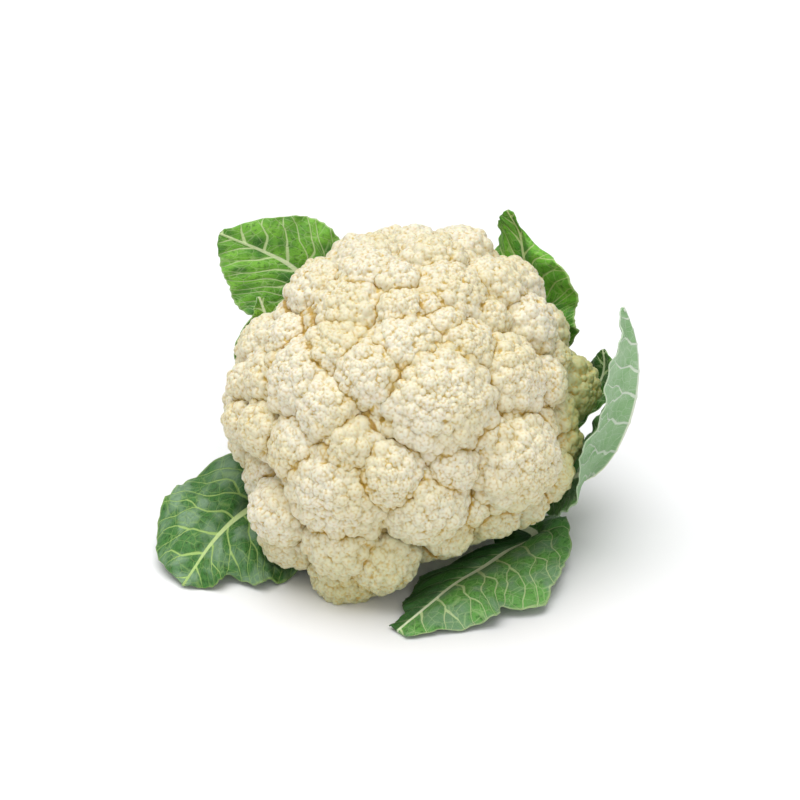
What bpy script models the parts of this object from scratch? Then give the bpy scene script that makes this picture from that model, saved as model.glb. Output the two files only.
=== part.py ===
"""A fresh cauliflower with some of its leaves, lying the way it does on a table.

The plant is modelled in its growth frame: the origin is the middle of the head, +Z runs up the
stem to the crown of the head, and one empty tips the whole plant forward until the front of the
head and the edge of the cut stem both rest on the table at Z = 0.

The head is one solid, raised from a sphere by a formula: every direction takes the furthest
reach of the round florets and of the smaller knobs on them. The leaves are blades lofted between
a midrib and two margins, each with its thick rib on the outer side.
"""

import math

import bmesh
import bpy
import numpy as np
from mathutils import Matrix, Vector

MM = 0.001
GOLDEN_ANGLE = math.pi * (3 - math.sqrt(5))
TINY = 1e-9
NEAR_POLE = 0.9

# How the plant lies: the height of the head's middle, and how far the stem leans.
HEAD_HEIGHT = 62 * MM
TIP_FORWARD = math.radians(35)
LEAN_RIGHT = math.radians(4)
# Moves the whole plant so that the origin is under the middle of its bounding box.
CENTRE_SHIFT = (1.56 * MM, -0.89 * MM, 0)

# The head: half widths across, half width from front to back, crown and underside heights.
HEAD_HALF_X = 82 * MM
HEAD_HALF_Y = 86 * MM
CROWN_HEIGHT = 79 * MM
UNDER_HEIGHT = 48 * MM
CORE_SHARE = 0.80
BRANCH_COUNT = 16
BRANCH_RELIEF = 7 * MM
FURROW_SHARPNESS = 0.7
SOCKET_RADIUS = 23 * MM
SOCKET_DEPTH = 38 * MM
HEAD_CUTS = 14
HEAD_TRIANGLES = 9000

# Each floret seen on the front: angle from the crown, bearing, radius and rise over the dome.
FRONT_FLORETS = (
    (40, 75, 15.5, 4), (32, 118, 13.7, 3), (22, 102, 9.1, 3), (27, 148, 16.5, 1), (36, 164, 12.8, -4),
    (9, 111, 9.6, 3), (12, 57, 6.4, 1), (24, 53, 16.5, 4), (12, 17, 7.8, 2), (44, 43, 15, 6),
    (6, -104, 15.1, 4), (19, -13, 13.7, 3), (31, 23, 9.1, 0), (51, 22, 15.5, 5), (39, -14, 19.2, 3),
    (26, -66, 24.2, 8), (21, -133, 12.8, 5), (28, -172, 15.5, 1), (59, -175, 13.7, 0),
    (42, -165, 18.3, 2), (39, -139, 13.7, 4), (34, -110, 13.7, -5), (67, -157, 12.8, 2),
    (45, -119, 14.6, 2), (59, -139, 16.5, 1), (63, -117, 26.5, 5), (50, -97, 15.5, 4),
    (42, -86, 7.8, -5), (62, -82, 18.3, 4), (49, -70, 11.9, 1), (60, -42, 22.8, 8),
    (45, -48, 10.1, 0), (42, -35, 8.2, -5), (63, -21, 11.9, -3), (76, -7, 13, -1), (84, 8, 15, 10),
    (76, 13, 8, -3), (84, -133, 15, 8), (82, -110, 16.5, 7), (86, -96, 15, 6), (68, -65, 10.1, -4),
    (79, -54, 12.8, -3), (98, -107, 16, 11), (97, -129, 14, 8), (76, -74, 11, -2), (84, -150, 13, -5),
    (64, 68, 16, 6), (63, 86, 13, 1), (70, 46, 16, 6), (76, 28, 14, 4), (73, 143, 13, -10),
    (70, 126, 14, -4), (97, -168, 12, -2), (86, -72, 11, -9), (87, -39, 12, -1), (84, -27, 13, 3),
    (89, 132, 14, -9), (56, 154, 9, -5), (78, -167, 10, 1.5), (93, -80, 9, -12), (91, -60, 9, -12),
    (92, -50, 11, -10), (64, 104, 9, -3), (85, -13, 12, 2),
)
FILL_SEED = 11
FILL_LOWEST = math.radians(104)
FILL_LOW_SIDE = math.radians(140)
FILL_LOW_SWING = math.radians(12)
FILL_SIZES = ((17 * MM, 260), (12.5 * MM, 420), (9 * MM, 600))
FILL_SPACING = 0.80
FILL_SIZE_SWING = 0.12
FILL_RISE_SWING = 2 * MM
# The knobs on a floret: their size as a share of it, how far round it they go, how deep they sit.
KNOB_SHARE = 0.36
KNOB_WIDEST = math.radians(112)
KNOB_SINK = 0.92
KNOB_PACKING = 0.95
FLORET_CORE_SHARE = 0.86

# The stem: how thick it is, the rounding of its cut end, and the gap that touching pieces keep.
# It is cut where its lower edge just meets the table.
STEM_RADIUS = 20 * MM
STEM_FLARE = 1.5 * MM
STEM_EDGE = 1.5 * MM
STEM_FLARE_HEIGHT = 4 * MM
STEM_SIDES = 32
TOUCH_GAP = 0.35 * MM
TILT = math.acos(math.cos(TIP_FORWARD) * math.cos(LEAN_RIGHT))
STEM_CUT = (HEAD_HEIGHT - (STEM_RADIUS - STEM_EDGE) * math.sin(TILT)) / math.cos(TILT)

# The leaves: the thickness of the blade, the section of the stalk where it leaves the stem, the
# rib at the tip, and the grid of rows and columns that each leaf is made on.
BLADE_THICK = 0.9 * MM
STALK_HALF = 6.0 * MM
STALK_THICK = 6.2 * MM
RIB_END_HALF = 0.9 * MM
RIB_END_THICK = 1.5 * MM
RIB_TAPER = 1.4
RIB_SHOULDER = 0.6
RIB_SHARES = (0.05, 0.75)
STALK_EDGE = 1 * MM
STALK_RUN = 14 * MM
NORMAL_STEP = 0.5 * MM
NORMAL_TIP_RUN = 6 * MM
FREE_SHARE = 1 / 6
SIDE_PHASE = 2.1
LEAF_ROWS = 26
HALF_COLUMNS = 4
HEAD_CLEARANCE = 1.7 * MM
HEAD_LOOK_ROUND = math.radians(2.8)
HEAD_LOOKS = 8
LOOK_SIDEWAYS = (0.3, 0.5, 0.8)

# The stalks of leaves that were trimmed off: bearings round the stem, level, length and section.
STUB_BEARINGS = (37, 73, 108, 146)
STUB_LEVEL = -56.5 * MM
STUB_LENGTH = 13 * MM
STUB_HALF_WIDTH = 6.5 * MM
STUB_HALF_THICK = 3.2 * MM
STUB_TAPER = 0.85
STUB_SIDES = 14
STUB_GAP = 3 * TOUCH_GAP

# Each leaf: the bearing and level of its foot on the stem, then its stations along the blade,
# each the midrib, the left margin and the right margin as millimetres on the table, then the
# height and number of the waves in its margin, its arch as a share of the half width, the depth
# of its teeth and the phase of its waves.
LEAVES = {
    "leaf_front_left": dict(
        foot=202, level=-46,
        stations=(
            ((-46, 14, 14), (-38, 4, 6), (-58, 24, 24)),
            ((-68, -8, 16), (-43, -42, 3), (-77, 18, 30)),
            ((-77, -22, 16), (-58, -54, 3), (-98, 4, 26)),
            ((-86, -36, 12), (-72, -55, 4), (-111, -14, 16)),
            ((-92, -46, 7), (-84, -56, 2), (-110, -38, 5)),
            ((-97, -54, 2.5), (-95, -55, 2), (-98, -54, 3)),
        ),
        wave=2.5, waves=4, arch=0.10, tooth=0.7, phase=0.6,
    ),
    "leaf_front_right": dict(
        foot=-50, level=-46,
        stations=(
            ((43, -9, 10), (50, -3, 11), (36, -14, 9)),
            ((62, -22, 9), (76, -11, 12), (44, -32, 6)),
            ((48, -37, 9), (77, -38, 10), (24, -40, 5)),
            ((38, -48, 8), (70, -62, 8), (12, -48, 3)),
            ((24, -62, 7), (52, -84, 6), (8, -62, 3)),
            ((12, -77, 5), (32, -90, 4), (4, -76, 3)),
            ((-1, -92, 2), (3, -97, 1.5), (-5, -88, 2)),
        ),
        wave=2.0, waves=4, arch=0.10, tooth=0.7, phase=0.0,
    ),
    "leaf_right": dict(
        foot=-12, level=-46,
        stations=(
            ((56, 3, 22), (57, 12, 26), (59, -11, 19)),
            ((92, 0, 34), (86, 17, 40), (76, -36, 31)),
            ((103, 2, 54), (97, 18, 58), (81, -31, 53)),
            ((107, 1, 78), (101, 18, 78), (91, -26, 84)),
            ((105, -2, 99), (101, 6, 99), (96, -20, 107)),
            ((99, -6, 117), (100, -5, 116), (98, -7, 117)),
        ),
        wave=1.6, waves=4, arch=0.05, tooth=0.6, phase=0.3,
    ),
    "leaf_right_back": dict(
        foot=22, level=-46,
        stations=(
            ((46, 30, 32), (40, 38, 38), (50, 22, 29)),
            ((84, 35, 48), (78, 48, 54), (89, 24, 46)),
            ((95, 36, 61), (90, 46, 63), (100, 27, 61)),
            ((96, 38, 69), (91, 43, 68), (100, 33, 71)),
            ((95, 40, 74), (94, 41, 73), (96, 39, 74)),
        ),
        wave=1.2, waves=3, arch=0.08, tooth=0.5, phase=0.4,
    ),
    "leaf_upper_right": dict(
        foot=56, level=-46,
        stations=(
            ((34, 48, 38), (24, 54, 42), (44, 42, 40)),
            ((58, 55, 76), (42, 72, 82), (79, 30, 86)),
            ((61, 55, 101), (44, 70, 105), (79, 35, 102)),
            ((58, 58, 114), (45, 68, 118), (71, 44, 117)),
            ((56, 61, 124), (46, 66, 128), (62, 56, 121)),
            ((50, 62, 135), (48, 63, 134), (53, 60, 135)),
        ),
        wave=2.6, waves=4, arch=0.08, tooth=0.7, phase=0.2,
    ),
    "leaf_back": dict(
        foot=91, level=-46,
        stations=(
            ((2, 62, 40), (-8, 63, 43), (12, 62, 43)),
            ((4, 82, 62), (-20, 80, 66), (28, 78, 66)),
            ((6, 90, 82), (-20, 88, 84), (32, 86, 84)),
            ((9, 94, 96), (-6, 93, 96), (24, 91, 96)),
            ((12, 98, 104), (10, 98, 104), (14, 98, 104)),
        ),
        wave=2.4, waves=4, arch=0.08, tooth=0.7, phase=0.5,
    ),
    "leaf_upper_left": dict(
        foot=127, level=-46,
        stations=(
            ((-26, 55, 44), (-35, 51, 46), (-16, 60, 48)),
            ((-39, 68, 88), (-65, 56, 79), (-20, 76, 98)),
            ((-52, 69, 104), (-78, 57, 90), (-33, 78, 120)),
            ((-65, 70, 111), (-84, 63, 103), (-48, 78, 126)),
            ((-76, 70, 116), (-86, 66, 111), (-66, 76, 125)),
            ((-85, 70, 120), (-86, 69, 118), (-83, 71, 122)),
        ),
        wave=1.6, waves=4, arch=0.05, tooth=0.7, phase=0.8,
    ),
    "leaf_small_left": dict(
        foot=164, level=-46,
        stations=(
            ((-44, 37, 38), (-48, 31, 36), (-41, 42, 42)),
            ((-59, 37, 66), (-69, 28, 66), (-51, 43, 71)),
            ((-63, 41, 84), (-71, 35, 84), (-55, 45, 87)),
            ((-67, 44, 95), (-68, 43, 95), (-66, 45, 95)),
        ),
        wave=1.2, waves=3, arch=0.06, tooth=0.8, phase=0.1,
    ),
}


def direction(polar, bearing):
    """The unit vector at an angle from the crown and a bearing about the stem."""
    return np.array([
        math.sin(polar) * math.cos(bearing),
        math.sin(polar) * math.sin(bearing),
        math.cos(polar),
    ])


def dome_reach(ways):
    """How far the head's outer dome is along each unit vector."""
    height = np.where(ways[..., 2] >= 0, CROWN_HEIGHT, UNDER_HEIGHT)
    x, y, z = ways[..., 0] / HEAD_HALF_X, ways[..., 1] / HEAD_HALF_Y, ways[..., 2] / height
    return 1 / np.sqrt(x * x + y * y + z * z)


def front_florets():
    """The florets of the front as (unit vector, radius, rise), in metres."""
    return [
        (direction(math.radians(polar), math.radians(bearing)), radius * MM, rise * MM)
        for polar, bearing, radius, rise in FRONT_FLORETS
    ]


def fill_florets(placed):
    """Adds florets wherever none is placed yet, down to the rim, large ones first."""
    draw = np.random.default_rng(FILL_SEED)
    found = list(placed)
    for size, tries in FILL_SIZES:
        for k in range(tries):
            bearing = k * GOLDEN_ANGLE
            lowest = FILL_LOWEST + FILL_LOW_SWING * math.cos(bearing - FILL_LOW_SIDE)
            height = 1 - (1 - math.cos(lowest)) * (k + 0.5) / tries
            way = direction(math.acos(height), bearing)
            radius = size * (1 + draw.uniform(-FILL_SIZE_SWING, FILL_SIZE_SWING))
            rise = draw.uniform(-FILL_RISE_SWING, FILL_RISE_SWING)
            reach = float(dome_reach(way))
            near = min(
                np.linalg.norm(way - other) * reach / (radius + other_radius)
                for other, other_radius, _ in found
            )
            if near > FILL_SPACING:
                found.append((way, radius, rise))
    return found


def cap_ways(axis, count, widest, turn):
    """Unit vectors spread evenly about an axis, out to the widest angle, on a golden spiral."""
    side = np.cross(axis, [0.0, 0.0, 1.0] if abs(axis[2]) < NEAR_POLE else [1.0, 0.0, 0.0])
    side /= np.linalg.norm(side)
    other = np.cross(axis, side)
    steps = np.arange(count)
    height = 1 - (1 - math.cos(widest)) * (steps + 0.5) / count
    across = np.sqrt(1 - height**2)
    angle = steps * GOLDEN_ANGLE + turn
    return (
        height[:, None] * axis
        + (across * np.cos(angle))[:, None] * side
        + (across * np.sin(angle))[:, None] * other
    )


def head_balls():
    """Centres and radii of every floret and of the knobs on it."""
    centres, radii = [], []
    for number, (way, radius, rise) in enumerate(fill_florets(front_florets())):
        middle = way * (float(dome_reach(way)) + rise - radius)
        knob = radius * KNOB_SHARE
        spread = knob / (radius - KNOB_SINK * knob) * KNOB_PACKING
        count = round((1 - math.cos(KNOB_WIDEST)) / 2 * 4 / spread**2)
        centres.append(middle[None])
        radii.append([radius * FLORET_CORE_SHARE])
        centres.append(middle + cap_ways(way, count, KNOB_WIDEST, number) * (radius - KNOB_SINK * knob))
        radii.append([knob] * count)
    return np.concatenate(centres), np.concatenate(radii)


def core_reach(ways):
    """The smooth body under the florets, flat where the stem meets it."""
    below = np.clip(-ways[:, 2], 0, 1)
    bearing = np.arctan2(ways[:, 1], ways[:, 0])
    furrows = 1 - np.abs(np.cos(BRANCH_COUNT / 2 * bearing))
    reach = dome_reach(ways) * CORE_SHARE - BRANCH_RELIEF * furrows * np.sin(math.pi * below) ** FURROW_SHARPNESS
    flat = SOCKET_DEPTH / np.maximum(below, TINY)
    return np.where(below > math.cos(math.atan(SOCKET_RADIUS / SOCKET_DEPTH)), flat, reach)


def head_reach(ways, balls):
    """How far the head reaches along each unit vector."""
    centres, radii = balls
    along = ways @ centres.T
    hit = along**2 - (np.sum(centres**2, axis=1) - radii**2)
    reach = np.where((hit > 0) & (along > 0), along + np.sqrt(np.maximum(hit, 0)), 0)
    return np.maximum(reach.max(axis=1), core_reach(ways))


def plant_matrix():
    """Carries the growth frame to the table."""
    return (
        Matrix.Translation((0, 0, HEAD_HEIGHT))
        @ Matrix.Rotation(TIP_FORWARD, 4, "X")
        @ Matrix.Rotation(LEAN_RIGHT, 4, "Y")
    )


def moved(points, matrix):
    """Points carried by a matrix."""
    matrix = np.array(matrix)
    return points @ matrix[:3, :3].T + matrix[:3, 3]


def unit(vectors):
    """The vectors at length one."""
    return vectors / np.maximum(np.linalg.norm(vectors, axis=-1, keepdims=True), TINY)


def clear_of_head(points, balls):
    """Pushes points on the table that come too near the head straight out of it."""
    grown = moved(points, plant_matrix().inverted())
    far = np.linalg.norm(grown, axis=1)
    ways = grown / far[:, None]
    side = unit(np.cross(ways, LOOK_SIDEWAYS))
    other = np.cross(ways, side)
    reach = head_reach(ways, balls)
    for angle in np.linspace(0, 2 * math.pi, HEAD_LOOKS, endpoint=False):
        near = side * math.cos(angle) + other * math.sin(angle)
        reach = np.maximum(reach, head_reach(unit(ways + HEAD_LOOK_ROUND * near), balls))
    grown = ways * np.maximum(far, reach + HEAD_CLEARANCE)[:, None]
    return moved(grown, plant_matrix())


class Leaf:
    """The curves of one leaf on the table, in metres, from its foot on the stem to its tip."""

    def __init__(self, shape):
        bearing = math.radians(shape["foot"])
        out = np.array([math.cos(bearing), math.sin(bearing), 0])
        side = np.array([math.sin(bearing), -math.cos(bearing), 0])
        foot = out * (STEM_RADIUS + TOUCH_GAP) + [0, 0, shape["level"] * MM]
        stalk = [[p, p - side * STALK_HALF, p + side * STALK_HALF] for p in (foot, foot + out * STALK_RUN)]
        stations = np.concatenate([moved(np.array(stalk), plant_matrix()), np.array(shape["stations"]) * MM])
        self.shape = shape
        self.curves = stations
        steps = np.linalg.norm(np.diff(stations[:, 0], axis=0), axis=1)
        self.knots = np.concatenate([[0], np.cumsum(steps)])
        self.blade_start = self.knots[2]
        self.length = self.knots[-1]

    def curve(self, which, place):
        """Curve 0 is the midrib, 1 the left margin and 2 the right; place is a length along the leaf."""
        points = self.curves[:, which]
        slopes = np.gradient(points, self.knots, axis=0)
        cell = np.clip(np.searchsorted(self.knots, place, side="right") - 1, 0, len(points) - 2)
        span = (self.knots[cell + 1] - self.knots[cell])[:, None]
        t = (place - self.knots[cell])[:, None] / span
        return (
            (1 + 2 * t) * (1 - t) ** 2 * points[cell]
            + t * (1 - t) ** 2 * span * slopes[cell]
            + t**2 * (3 - 2 * t) * points[cell + 1]
            + t**2 * (t - 1) * span * slopes[cell + 1]
        )

    def inner_normal(self, place):
        """The unit normal of the inner face at the midrib."""
        inside = np.clip(place, 0, self.length - NORMAL_TIP_RUN)
        across = self.curve(2, inside) - self.curve(1, inside)
        ahead = self.curve(0, np.minimum(place + NORMAL_STEP, self.length))
        behind = self.curve(0, np.maximum(place - NORMAL_STEP, 0))
        return unit(np.cross(across, ahead - behind))

    def rib(self, place):
        """Half width and thickness of the stalk and of the rib that it becomes."""
        left = (1 - np.clip(place / self.length, 0, 1)) ** RIB_TAPER
        half = RIB_END_HALF + (STALK_HALF - STALK_EDGE - RIB_END_HALF) * left
        return half, RIB_END_THICK + (STALK_THICK - RIB_END_THICK) * left

    def points(self, place, q):
        """The inner face: q runs from -1 at the left margin, over the midrib, to 1."""
        shape = self.shape
        mid = self.curve(0, place)
        margin = np.where(q[:, None] < 0, self.curve(1, place), self.curve(2, place))
        reach = margin - mid
        blade = np.clip((place - self.blade_start) / (self.length - self.blade_start), 0, 1)
        free = np.clip(blade / FREE_SHARE, 0, 1) * np.clip((1 - blade) / FREE_SHARE, 0, 1)
        turn = 2 * math.pi * (shape["waves"] * blade + shape["phase"]) + (q < 0) * SIDE_PHASE
        wave = shape["wave"] * MM * free * q**2 * np.sin(turn)
        arch = shape["arch"] * np.linalg.norm(reach, axis=1) * np.sin(math.pi * np.abs(q)) * free
        return mid + reach * np.abs(q)[:, None] + self.inner_normal(place) * (wave + arch)[:, None]


def add_empty(name, matrix, parent=None):
    """Links an empty that carries other objects."""
    empty = bpy.data.objects.new(name, None)
    bpy.data.collections["cauliflower"].objects.link(empty)
    empty.parent = parent
    empty.matrix_local = matrix
    return empty


def add_object(name, mesh, material, parent):
    """Links a mesh as an object of the cauliflower's collection."""
    thing = bpy.data.objects.new(name, mesh)
    mesh.materials.append(material)
    bpy.data.collections["cauliflower"].objects.link(thing)
    thing.parent = parent
    return thing


def make_material(name, colour, roughness):
    """A plain finish."""
    material = bpy.data.materials.new(name)
    material.use_nodes = True
    shader = material.node_tree.nodes["Principled BSDF"]
    shader.inputs["Base Color"].default_value = (*colour, 1)
    shader.inputs["Roughness"].default_value = roughness
    shader.inputs["Metallic"].default_value = 0
    return material


def applied(thing):
    """The object's mesh with its modifiers applied, as a bmesh; the modifiers are then removed."""
    graph = bpy.context.evaluated_depsgraph_get()
    bm = bmesh.new()
    bm.from_mesh(bpy.data.meshes.new_from_object(thing.evaluated_get(graph)))
    thing.modifiers.clear()
    return bm


def make_head(plant, material, balls):
    """The head: a sphere raised to the reach of its florets, with one flat spot where it rests."""
    bm = bmesh.new()
    bmesh.ops.create_icosphere(bm, subdivisions=2, radius=1)
    bmesh.ops.subdivide_edges(bm, edges=bm.edges[:], cuts=HEAD_CUTS, use_grid_fill=True)
    bmesh.ops.triangulate(bm, faces=bm.faces[:])
    ways = unit(np.array([v.co for v in bm.verts]))
    for vertex, point in zip(bm.verts, ways * head_reach(ways, balls)[:, None]):
        vertex.co = point
    mesh = bpy.data.meshes.new("head")
    bm.to_mesh(mesh)
    head = add_object("head", mesh, material, plant)
    fewer = head.modifiers.new("fewer faces", "DECIMATE")
    fewer.ratio = HEAD_TRIANGLES / len(bm.faces)
    bm.free()
    bm = applied(head)
    to_growth = plant_matrix().inverted()
    bmesh.ops.bisect_plane(
        bm, geom=bm.verts[:] + bm.edges[:] + bm.faces[:], dist=0.00001, clear_inner=True,
        plane_co=to_growth @ Vector((0, 0, 0)), plane_no=to_growth.to_3x3() @ Vector((0, 0, 1)),
    )
    bmesh.ops.holes_fill(bm, edges=[edge for edge in bm.edges if edge.is_boundary])
    bmesh.ops.triangulate(bm, faces=bm.faces[:])
    bm.to_mesh(mesh)
    bm.free()
    mesh.shade_smooth()
    return head


def make_stem(plant, material):
    """The stump of the stem, turned from a profile, with the edge of its cut on the table."""
    profile = (
        (0, -SOCKET_DEPTH - TOUCH_GAP),
        (STEM_RADIUS + STEM_FLARE, -SOCKET_DEPTH - TOUCH_GAP),
        (STEM_RADIUS, -SOCKET_DEPTH - STEM_FLARE_HEIGHT),
        (STEM_RADIUS, STEM_EDGE - STEM_CUT),
        (STEM_RADIUS - STEM_EDGE, -STEM_CUT),
        (0, -STEM_CUT),
    )
    bm = bmesh.new()
    verts = [bm.verts.new((x, 0, z)) for x, z in profile]
    for above, below in zip(verts, verts[1:]):
        bm.edges.new((above, below))
    mesh = bpy.data.meshes.new("stem")
    bm.to_mesh(mesh)
    bm.free()
    stem = add_object("stem", mesh, material, plant)
    turn = stem.modifiers.new("turn", "SCREW")
    turn.steps = turn.render_steps = STEM_SIDES
    turn.use_merge_vertices = True
    turn.merge_threshold = 0.00001
    return stem


def make_stub(number, bearing, plant, material):
    """The short stalk that is left where a leaf was trimmed off, an oval peg cut straight."""
    bm = bmesh.new()
    bmesh.ops.create_cone(
        bm, cap_ends=True, segments=STUB_SIDES, radius1=STUB_HALF_WIDTH,
        radius2=STUB_HALF_WIDTH * STUB_TAPER, depth=STUB_LENGTH,
    )
    bmesh.ops.scale(bm, verts=bm.verts[:], vec=(1, STUB_HALF_THICK / STUB_HALF_WIDTH, 1))
    outward = Matrix.Rotation(math.radians(bearing), 4, "Z") @ Matrix.Rotation(math.pi / 2, 4, "Y")
    bmesh.ops.rotate(bm, verts=bm.verts[:], matrix=Matrix.Rotation(math.pi / 2, 3, "Z"))
    mesh = bpy.data.meshes.new(f"leaf_stub_{number}")
    bm.to_mesh(mesh)
    bm.free()
    stub = add_object(f"leaf_stub_{number}", mesh, material, plant)
    far = STEM_RADIUS + STUB_GAP + STUB_LENGTH / 2
    stub.matrix_local = Matrix.Translation((
        far * math.cos(math.radians(bearing)), far * math.sin(math.radians(bearing)), STUB_LEVEL,
    )) @ outward
    return stub


def make_leaf(name, shape, table, material, balls):
    """A leaf: a grid laid along its curves, kept off the head and the table, thickened at the rib."""
    leaf = Leaf(shape)
    bm = bmesh.new()
    bmesh.ops.create_grid(bm, x_segments=2 * HALF_COLUMNS, y_segments=LEAF_ROWS, size=1)
    flat = np.array([v.co for v in bm.verts])
    column = np.rint(flat[:, 0] * HALF_COLUMNS)
    row = np.rint((flat[:, 1] + 1) / 2 * LEAF_ROWS)
    place = row / LEAF_ROWS * leaf.length
    half, thick = leaf.rib(place)
    margin = np.where(column[:, None] < 0, leaf.curve(1, place), leaf.curve(2, place))
    span = np.linalg.norm(margin - leaf.curve(0, place), axis=1)
    share = np.clip(half / np.maximum(span, MM), *RIB_SHARES)
    step = np.abs(column)
    q = np.sign(column) * np.where(step > 0, share + (1 - share) * (step - 1) / (HALF_COLUMNS - 1), 0)
    points = leaf.points(place, q)
    tooth = (step == HALF_COLUMNS) * (place > leaf.blade_start) * shape["tooth"] * MM * (-1) ** row
    points += unit(margin - leaf.curve(0, place)) * tooth[:, None]
    points = clear_of_head(points, balls)
    depth = BLADE_THICK + (thick - BLADE_THICK) * np.select([step == 0, step == 1], [1, RIB_SHOULDER], 0)
    points[:, 2] = np.maximum(points[:, 2], depth)
    for vertex, point in zip(bm.verts, points):
        vertex.co = point
    bmesh.ops.triangulate(bm, faces=bm.faces[:], quad_method="FIXED")
    mesh = bpy.data.meshes.new(name)
    bm.to_mesh(mesh)
    bm.free()
    thing = add_object(name, mesh, material, table)
    group = thing.vertex_groups.new(name="thickness")
    for number, value in enumerate(depth):
        group.add([number], value / STALK_THICK, "REPLACE")
    shell = thing.modifiers.new("thickness", "SOLIDIFY")
    shell.thickness = STALK_THICK
    shell.offset = -1
    shell.vertex_group = "thickness"
    bm = applied(thing)
    for vertex in bm.verts:
        vertex.co.z = max(vertex.co.z, 0)
    bm.to_mesh(mesh)
    bm.free()
    return thing


def main():
    """Builds the head, the stem, the leaves and the stubs."""
    for thing in list(bpy.data.objects):
        bpy.data.objects.remove(thing)
    collection = bpy.data.collections.new("cauliflower")
    bpy.context.scene.collection.children.link(collection)
    table = add_empty("table", Matrix.Translation(CENTRE_SHIFT))
    plant = add_empty("plant", plant_matrix(), table)
    curd = make_material("curd", (0.86, 0.80, 0.62), 0.6)
    pith = make_material("stem flesh", (0.70, 0.76, 0.48), 0.5)
    green = make_material("leaf green", (0.12, 0.32, 0.05), 0.45)
    balls = head_balls()
    make_head(plant, curd, balls)
    make_stem(plant, pith)
    for number, bearing in enumerate(STUB_BEARINGS, 1):
        make_stub(number, bearing, plant, pith)
    for name, shape in LEAVES.items():
        make_leaf(name, shape, table, green, balls)


main()
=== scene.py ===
"""The looks of a fresh cauliflower: beaded florets, veined leaves and a cut stem on a pale table.

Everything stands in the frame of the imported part. The florets, the leaves, the stem and the
trimmed stalks follow the same sizes and formulas as its solids, with finer surfaces, and each
piece replaces the node that it stands for. Sizes are in metres, unless a name ends in mm or a
comment says millimetres.
"""

from __future__ import annotations

import logging
import math
from dataclasses import dataclass, field
from enum import Enum
from typing import Sequence

import bmesh
import bpy
import numpy as np
from mathutils import Matrix, Vector


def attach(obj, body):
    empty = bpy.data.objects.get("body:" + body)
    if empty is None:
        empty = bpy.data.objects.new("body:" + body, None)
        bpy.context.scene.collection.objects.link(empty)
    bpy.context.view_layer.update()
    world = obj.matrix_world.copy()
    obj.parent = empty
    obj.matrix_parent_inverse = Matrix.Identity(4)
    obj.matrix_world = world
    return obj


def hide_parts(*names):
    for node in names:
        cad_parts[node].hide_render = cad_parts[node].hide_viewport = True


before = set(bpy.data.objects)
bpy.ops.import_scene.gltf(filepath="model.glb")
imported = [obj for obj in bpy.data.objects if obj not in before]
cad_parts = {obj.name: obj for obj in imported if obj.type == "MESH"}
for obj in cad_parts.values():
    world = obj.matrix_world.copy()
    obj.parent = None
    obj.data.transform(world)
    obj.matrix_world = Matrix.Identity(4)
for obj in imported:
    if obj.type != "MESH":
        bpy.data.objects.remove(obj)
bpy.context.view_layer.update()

Array = np.ndarray
Colour = tuple[float, float, float]
Spot = tuple[float, float, float]
Spread = tuple[Array, Array, Array]
MM = 0.001
TINY = 1e-9
WELD = 1e-6
BALL_FACES = 80  # the triangles of the coarse ball that Ball.cut divides
GUARD = 1.03  # how much larger than they are the leaves take the florets to be
GOLDEN_ANGLE = math.pi * (3 - math.sqrt(5))

log = logging.getLogger("cauliflower")


class Slot(Enum):
    """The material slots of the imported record."""

    CURD = "curd"
    STEM = "stem"
    LEAF = "leaf"


def unit(vectors: Array) -> Array:
    """The vectors at length one."""
    return vectors / np.maximum(np.linalg.norm(vectors, axis=-1, keepdims=True), TINY)


def direction(polar: float, bearing: float) -> Array:
    """The unit vector at an angle from the crown and a bearing about the stem."""
    across = math.sin(polar)
    return np.array([across * math.cos(bearing), across * math.sin(bearing), math.cos(polar)])


def moved(points: Array, matrix: Matrix) -> Array:
    """Points carried by a matrix."""
    table = np.array(matrix)
    return points @ table[:3, :3].T + table[:3, 3]


def frames_of(axes: Array) -> tuple[Array, Array]:
    """Two unit vectors square to each axis.

    Args:
        axes: unit vectors, one a row.

    Returns:
        The two sideways vectors of each axis.
    """
    upright = np.abs(axes[:, 2:3]) < 0.9
    side = unit(np.cross(axes, np.where(upright, [0.0, 0.0, 1.0], [1.0, 0.0, 0.0])))
    return side, np.cross(axes, side)


def around(axes: Array, angle: Array, turn: Array) -> Array:
    """Unit vectors at an angle from each axis, turned about it.

    Args:
        axes: unit vectors, one a row.
        angle: the angle from each.
        turn: the turn about each.

    Returns:
        The unit vectors.
    """
    side, other = frames_of(axes)
    return (
        np.cos(angle)[:, None] * axes
        + (np.sin(angle) * np.cos(turn))[:, None] * side
        + (np.sin(angle) * np.sin(turn))[:, None] * other
    )


def ramp(value: Array, low: float | Array, high: float | Array) -> Array:
    """A smooth rise from 0 at low to 1 at high."""
    share = np.clip((value - low) / (high - low), 0, 1)
    return share * share * (3 - 2 * share)


def above_table(points: Array) -> Array:
    """The points, with those below the table raised to it."""
    return np.column_stack([points[:, :2], np.maximum(points[:, 2], 0)])


def ball_reach(along: Array, inner: Array) -> Array:
    """How far balls reach along directions from the origin.

    Args:
        along: how far along each direction the middle of each ball is.
        inner: the square of each middle's distance, less that of the ball's radius.

    Returns:
        The reach of each ball along each direction, or 0 where it is missed.
    """
    hit = along**2 - inner
    return np.where((hit > 0) & (along > 0), along + np.sqrt(np.maximum(hit, 0)), 0)


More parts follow.
